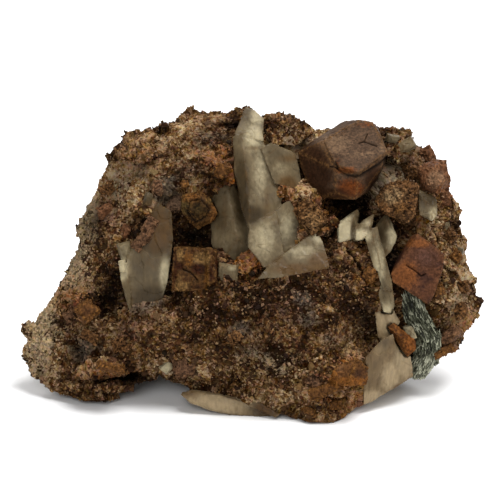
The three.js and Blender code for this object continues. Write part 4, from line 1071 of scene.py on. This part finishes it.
# Smaller crystals and chips that lie on the display side. Each is (x, z, width, height,
# thickness, turn in degrees), and is set on the rock by a ray from the front. A group gives its
# finish and then the same values as a crystal or a calcite part.
fragments = {
    "purpleChips": {
        "garnet": ("purple", 0.14, 0.05, 0.2, 0.8),
        "places": [
            (-21, 4.6, 2.4, 4.2, 1, -42), (-19.4, 7.4, 2.6, 4.4, 1.2, -28),
            (-12.6, -19.3, 4.6, 4.4, 1.2, 14), (38, -13.6, 2.6, 5.4, 2, -52), (-34.4, -9.4, 3, 2.6, 1.2, 30),
            (12, -22, 3.6, 2.4, 1.4, -24),
        ],
    },
    "orangeChips": {
        "garnet": ("rust", 0.14, 0.06, 0.3, 0.8),
        "places": [
            (14.2, -23.4, 6.6, 2.6, 2.2, 22), (-12.7, 15.6, 1.9, 1.6, 1.4, 10),
            (-31.3, -8.4, 4.4, 4, 1.8, 40), (37, -16.4, 4.6, 1.8, 2, 24), (-26.6, -19.2, 5.6, 1.8, 1.8, -8),
            (39.4, 1.8, 2.6, 2.2, 2, 35), (22.6, -1.6, 2.8, 2.2, 1.8, 60), (16, -26.4, 3.2, 2, 1.6, 10),
            (11, -27.6, 2.8, 1.8, 1.6, -15), (35.6, -4.6, 3, 2.6, 2, 20), (-5.6, 18.2, 2.6, 3.2, 1.6, -30),
        ],
    },
    "brownChips": {
        "garnet": ("brown", 0.15, 0.08, 0.35, 0.8),
        "places": [
            (30.8, 18, 3.8, 3.2, 2.2, 12), (11.4, 9.4, 4.6, 6.4, 2.4, 35), (38.4, 5.6, 3, 2.8, 2.2, 50),
            (-24.8, -15, 4.6, 3.2, 2, 15), (-3, -13.6, 2.6, 2.2, 1.2, 30), (-27.4, 14.8, 3, 2.6, 1.8, 48),
            (40.8, -4, 2.4, 2.6, 1.8, 10), (40.2, -8.6, 3.2, 2.8, 1.8, 32),
            (-30.8, -13.4, 3.6, 2.6, 1.8, -30),
        ],
    },
    "amberChips": {
        "garnet": ("amber", 0.14, 0.05, 0.2, 0.5),
        "places": [(-7.5, -0.4, 2.2, 7.8, 2.4, 2)],
    },
    "roseChips": {
        "garnet": ("rose", 0.14, 0.05, 0.2, 0.7),
        "places": [
            (34, 21.6, 2.6, 3.2, 2.2, 30), (-27.8, 10.4, 3.4, 3, 1.6, 20), (37.4, 13.2, 2.2, 3.4, 1.8, 8),
            (-24, 6.4, 2.4, 3.2, 1.4, -20),
        ],
    },
    "paleChips": {
        "calcite": ("grey", 0.13, (1.6, 1.6, 2.6)),
        "places": [
            (-24, 2.8, 2.8, 3.6, 1.6, 12), (-24.5, 0, 1.4, 2.6, 1.2, 4), (-19.6, 12.8, 1.6, 2.9, 1.2, -12),
            (-4.4, -1.7, 4, 4.4, 1.4, -8), (30.5, -12.5, 2.4, 3.2, 4, 20), (26.2, -9, 2.2, 2.6, 1.4, -14),
            (-16.8, 17, 1.2, 0.5, 0.5, -10), (29.7, 23.2, 3.6, 2.6, 2, 30), (27, 24.4, 2.6, 1.8, 1.6, -12),
            (-15.9, -19.2, 2.8, 2.2, 1.4, 45), (37.6, 7.4, 1.6, 2.2, 1.2, 15), (40.2, 2.4, 1.2, 2.4, 1, -10),
        ],
    },
    "mauveChips": {
        "garnet": ("purple", 0.14, 0.05, 0.2, 0.7),
        "places": [(-14.6, 12.2, 4.2, 4.2, 1.6, 14), (-17.8, 15, 2.6, 3, 1.4, -20)],
    },
}
fragmentShape = {
    "seed": 41, "rayStart": 40, "tilt": 0.3, "narrowest": 0.6, "peakSway": 0.2, "peak": 0.62, "lift": 0.12,
}

# The stained calcite along the bottom edge, as corners (x, z) and its reach into and out of the
# rock. Its front is narrower and lower than its corners.
footBand = {
    "finish": "stained", "voxel": 0.15, "cell": (6.0, 2.0, 2.0), "middle": (-4.9, -26.5),
    "corners": [
        (-13.6, -24.4), (-11.6, -26.2), (-8, -27.6), (-3.6, -28.6), (1, -29.2), (4.6, -29), (5, -28.2),
        (1, -26.4), (-6, -24.2), (-11.6, -23.6),
    ],
    "inwards": 1.6, "outwards": 0.8, "frontWidth": 0.94, "frontHeight": 0.8,
}


def rayTarget(pieces):
    places, sides = [], []
    for piece in pieces:
        start = len(places)
        places += [v.co for v in piece.data.vertices]
        sides += [[start + i for i in p.vertices] for p in piece.data.polygons]
    return BVHTree.FromPolygons(places, sides)


def depthAt(ray, x, z):
    start = fromFace((x, z, fragmentShape["rayStart"]))[0]
    hit = ray.ray_cast(Vector(start), Vector(-faceAxes[2]))[0]
    return toFace(np.array(hit))[0][2]


def convexHull(work, verts):
    hull = bmesh.ops.convex_hull(work, input=verts)
    spare = [v for v in hull["geom_interior"] if isinstance(v, bmesh.types.BMVert)]
    bmesh.ops.delete(work, geom=spare, context="VERTS")


def addFragment(work, ray, draw, place):
    x, z, width, height, thickness, turn = place
    out = depthAt(ray, x, z)
    tilt, sway, lift = (fragmentShape[key] for key in ("tilt", "peakSway", "lift"))
    swing = Matrix.Rotation(math.radians(turn), 3, "Z")
    for axis in "XY":
        swing = swing @ Matrix.Rotation(draw.uniform(-tilt, tilt), 3, axis)
    corners = []
    for sideX in (-1, 1):
        for sideZ in (-1, 1):
            for sideOut in (-1, 1):
                shrink = draw.uniform(fragmentShape["narrowest"], 1.0, 2) if sideOut > 0 else (1, 1)
                corner = (sideX * width * shrink[0], sideZ * height * shrink[1], sideOut * thickness)
                corners.append(swing @ (Vector(corner) / 2))
    peak = (draw.uniform(-sway, sway) * width, 0, fragmentShape["peak"] * thickness)
    corners.append(swing @ Vector(peak))
    places = fromFace([(x + c.x, z + c.y, out + c.z + lift * thickness) for c in corners])
    convexHull(work, [work.verts.new(p) for p in places])


def fragmentPiece(name, ray, places, draw):
    work = bmesh.new()
    for place in places:
        addFragment(work, ray, draw, place)
    bmesh.ops.dissolve_limit(work, angle_limit=0.02, verts=work.verts, edges=work.edges)
    bmesh.ops.triangulate(work, faces=work.faces)
    return newPiece(name, work)


def footBandPiece(ray):
    midX, midZ = footBand["middle"]
    out = depthAt(ray, midX, midZ)
    work = bmesh.new()
    for x, z in footBand["corners"]:
        frontX = midX + footBand["frontWidth"] * (x - midX)
        frontZ = midZ + footBand["frontHeight"] * (z - midZ)
        front = (frontX, frontZ, out + footBand["outwards"])
        for place in (front, (x, z, out), (x, z, out - footBand["inwards"])):
            work.verts.new(fromFace(place)[0])
    convexHull(work, work.verts)
    return newPiece("footChips", work)


# Sugary grains and small crystals that crust the massive garnet
crustLook = {
    "shapeSeed": 12, "thinnest": 0.45, "thickest": 1.1, "roundness": 1.7, "anyTurn": (6.28, 6.28, 6.28),
    "leastStretch": (0.7, 0.75, 0.7), "mostStretch": (1.3, 1.25, 1.4),
    "seeds": {"turn": 31, "size": 32, "stretch": 33, "tint": 34}, "calm": 1.2, "backShare": 0.3,
    "display": (-12, -2), "ground": (0.5, 1.5), "specular": 0.06, "bump": (0.3, 0.05), "speckSize": 0.3,
    "speckShare": 0.4, "tintShare": 0.7,
}
grainCrust = {
    "sugarGrains": {
        "corners": "cube", "Apart": 0.44, "Density": 2.3, "Smallest": 0.1, "Largest": 0.24, "Sink": 0.03,
        "Palest": 1.0, "Seed": 3,
    },
    "coarseSugarGrains": {
        "corners": "cube", "Apart": 0.8, "Density": 0.9, "Smallest": 0.18, "Largest": 0.34, "Sink": 0.12,
        "Palest": 0.85, "Seed": 8,
    },
    "smallGarnets": {
        "corners": "dodecahedron", "Apart": 1.6, "Density": 0.08, "Smallest": 0.35, "Largest": 0.75,
        "Sink": 0.3, "Palest": 0.55, "Seed": 5,
    },
}


def grainMesh(name, kind):
    corners = [Vector((x, y, z)) for x in (-1, 1) for y in (-1, 1) for z in (-1, 1)]
    if kind == "dodecahedron":
        for axis in range(3):
            for side in (-1, 1):
                corners.append(Vector((2 * side if i == axis else 0 for i in range(3))))
        corners = [corner / crustLook["roundness"] for corner in corners]
    else:
        draw = np.random.default_rng(crustLook["shapeSeed"])
        thinnest, thickest = crustLook["thinnest"], crustLook["thickest"]
        corners = [Vector(np.array(corner) * draw.uniform(thinnest, thickest, 3)) for corner in corners]
    work = bmesh.new()
    for corner in corners:
        work.verts.new(corner)
    bmesh.ops.convex_hull(work, input=work.verts)
    bmesh.ops.dissolve_limit(work, angle_limit=0.01, verts=work.verts, edges=work.edges)
    return newPiece(name, work)


def crustTree():
    sizes = ["Apart", "Density", "Smallest", "Largest", "Sink", "Palest", "Seed"]
    tree, entry = shapeTree("grainCrust", sizes, ["Grain"])
    apart, smallest, largest = (times(tree, entry[key], mm) for key in ("Apart", "Smallest", "Largest"))
    sockets = {
        "Mesh": entry["Geometry"], "Distance Min": apart, "Density Factor": named(tree, "crust"),
        "Density Max": calc(tree, "DIVIDE", entry["Density"], mm * mm), "Seed": entry["Seed"],
    }
    points = addNode(tree, "GeometryNodeDistributePointsOnFaces", sockets, distribute_method="POISSON")
    deep = along(tree, points.outputs["Normal"], times(tree, entry["Sink"], -mm))
    sockets = {"Geometry": points.outputs["Points"], "Offset": deep}
    lowered = addNode(tree, "GeometryNodeSetPosition", sockets).outputs[0]
    seeds = crustLook["seeds"]
    anyWay = randomValue(tree, (0, 0, 0), crustLook["anyTurn"], seeds["turn"])
    turn = addNode(tree, "FunctionNodeEulerToRotation", {"Euler": anyWay}).outputs[0]
    stretch = randomValue(tree, crustLook["leastStretch"], crustLook["mostStretch"], seeds["stretch"])
    scale = along(tree, stretch, randomValue(tree, smallest, largest, seeds["size"]))
    shape = objectShape(tree, entry["Grain"])
    sockets = {"Points": lowered, "Instance": shape, "Rotation": turn, "Scale": scale}
    grains = addNode(tree, "GeometryNodeInstanceOnPoints", sockets).outputs[0]
    tint = randomValue(tree, 0.0, entry["Palest"], seeds["tint"])
    return endTree(tree, entry, store(tree, grains, "tint", tint, domain="INSTANCE"))


def grainMaterial(group):
    material, tree, surface = newMaterial("garnet grains", crustLook["specular"])
    cloud = blockTone(tree, attribute(tree, "place", "Vector"))
    tint = attribute(tree, "tint")
    here = addNode(tree, "ShaderNodeTexCoord").outputs["Object"]
    speck = times(tree, noiseOf(tree, here, crustLook["speckSize"]), crustLook["speckShare"])
    both = timesPlus(tree, tint, crustLook["tintShare"], speck)
    useGroup(tree, surface, group, {"Grain": tint, "Speck": both, "Cloud": cloud}, *crustLook["bump"])
    return material


def makeCrust(rockPiece, material):
    mesh = rockPiece.data
    out = toFace(pointsOf(mesh))[:, 2]
    calm = np.clip(crustLook["calm"] * np.maximum(maskOf(mesh, "grey"), maskOf(mesh, "pink")), 0, 1)
    backShare = crustLook["backShare"]
    display = backShare + (1 - backShare) * softEdge(out, *crustLook["display"])
    ground = softEdge(pointsOf(mesh)[:, 2] / mm, *crustLook["ground"])
    setMask(mesh, "crust", display * (1 - calm) * ground)
    tree = crustTree()
    for name, values in grainCrust.items():
        grainShape = grainMesh("grainShape", values["corners"])
        piece = newObject(name, mesh.copy())
        runTree(piece, tree, material, dict(values, Grain=grainShape))
        bpy.data.objects.remove(grainShape)
        stayAboveGround(piece.data)
        shade(piece)
        finishPiece(piece, "massive_garnet")


# Camera, light and floor
studio = {
    "distance": 1.0, "lens": 374, "elevation": 20, "aim": (-0.2, 3.1, 0), "floorSize": 3.0,
    "floorWhite": 0.9, "floorRoughness": 0.9, "floorSpecular": 0.5, "sky": 0.26, "lampAim": (0, 0, 0.02),
}
softBoxes = {
    "top": {"place": (0.2, -0.1, 0.8), "size": 0.5, "power": 9.0},
    "front": {"place": (-0.2, -0.95, 0.6), "size": 0.6, "power": 5.0},
    "right": {"place": (0.8, -0.3, 0.45), "size": 0.4, "power": 1.6},
    "back": {"place": (0.1, 0.9, 0.6), "size": 0.6, "power": 5.0},
}


def makeStudio():
    target = Vector(fromFace([studio["aim"]])[0])
    angle = math.radians(studio["elevation"])
    back = Vector((0, -math.cos(angle), math.sin(angle)))
    camera = newObject("camera", bpy.data.cameras.new("camera"))
    camera.data.lens = studio["lens"]
    camera.data.sensor_width = 36
    camera.location = target + back * studio["distance"]
    camera.rotation_euler = (-back).to_track_quat("-Z", "Y").to_euler()
    bpy.context.scene.camera = camera

    floorMesh = bpy.data.meshes.new("floor")
    half = studio["floorSize"] / 2
    corners = [(-half, -half, 0), (half, -half, 0), (half, half, 0), (-half, half, 0)]
    floorMesh.from_pydata(corners, [], [(0, 1, 2, 3)])
    white, tree, surface = newMaterial("floor", studio["floorSpecular"])
    surface["Base Color"].default_value = (*(studio["floorWhite"],) * 3, 1)
    surface["Roughness"].default_value = studio["floorRoughness"]
    floorMesh.materials.append(white)
    newObject("floor", floorMesh)

    for name, values in softBoxes.items():
        light = bpy.data.lights.new(name, "AREA")
        light.shape = "DISK"
        light.size = values["size"]
        light.energy = values["power"]
        lamp = newObject(name, light)
        lamp.location = values["place"]
        aim = Vector(values["place"]) - Vector(studio["lampAim"])
        lamp.rotation_euler = aim.to_track_quat("Z", "Y").to_euler()
    world = bpy.data.worlds.new("studio")
    bpy.context.scene.world = world
    world.use_nodes = True
    sky = world.node_tree.nodes["Background"].inputs
    sky["Color"].default_value = (1, 1, 1, 1)
    sky["Strength"].default_value = studio["sky"]
    bpy.context.scene.view_settings.view_transform = "Standard"


makeStudio()
print("studio set")

setPieces = copyOf("setPieces", *(name for name in nodes if name != "massive_garnet"))
grainColour = grainColourGroup()
rockPiece = makeRock(massiveGarnetMaterial(grainColour), setPieces)
bpy.data.objects.remove(setPieces)
piecesSoFar = [rockPiece]
print("rock made")

growthSteps = crystalTree()
crystalColour = crystalColourGroup()
garnetMaterials = {finish: crystalMaterial(finish, crystalColour) for finish in crystalFinishes}
for node, (name, *values) in crystals.items():
    piece = copyOf(name, node)
    dressCrystal(piece, *values, node)
    piecesSoFar.append(piece)
print("crystals made")

cleavage = cleavageTree()
calciteColour = calciteColourGroup()
calciteMaterials = {finish: calciteMaterial(finish, calciteColour) for finish in calciteFinishes}
for node, (name, *values) in calciteParts.items():
    piece = copyOf(name, node)
    dressCalcite(piece, *values, node)
    piecesSoFar.append(piece)
print("calcite made")

piecesSoFar.append(makeAmphibole(amphiboleMaterial()))
print("amphibole made")

ray = rayTarget(piecesSoFar)
draw = np.random.default_rng(fragmentShape["seed"])
for name, values in fragments.items():
    piece = fragmentPiece(name, ray, values["places"], draw)
    if "garnet" in values:
        dressCrystal(piece, *values["garnet"])
    else:
        dressCalcite(piece, *values["calcite"])
dressCalcite(footBandPiece(ray), footBand["finish"], footBand["voxel"], footBand["cell"])
print("fragments made")

makeCrust(rockPiece, grainMaterial(grainColour))
print("grains made")
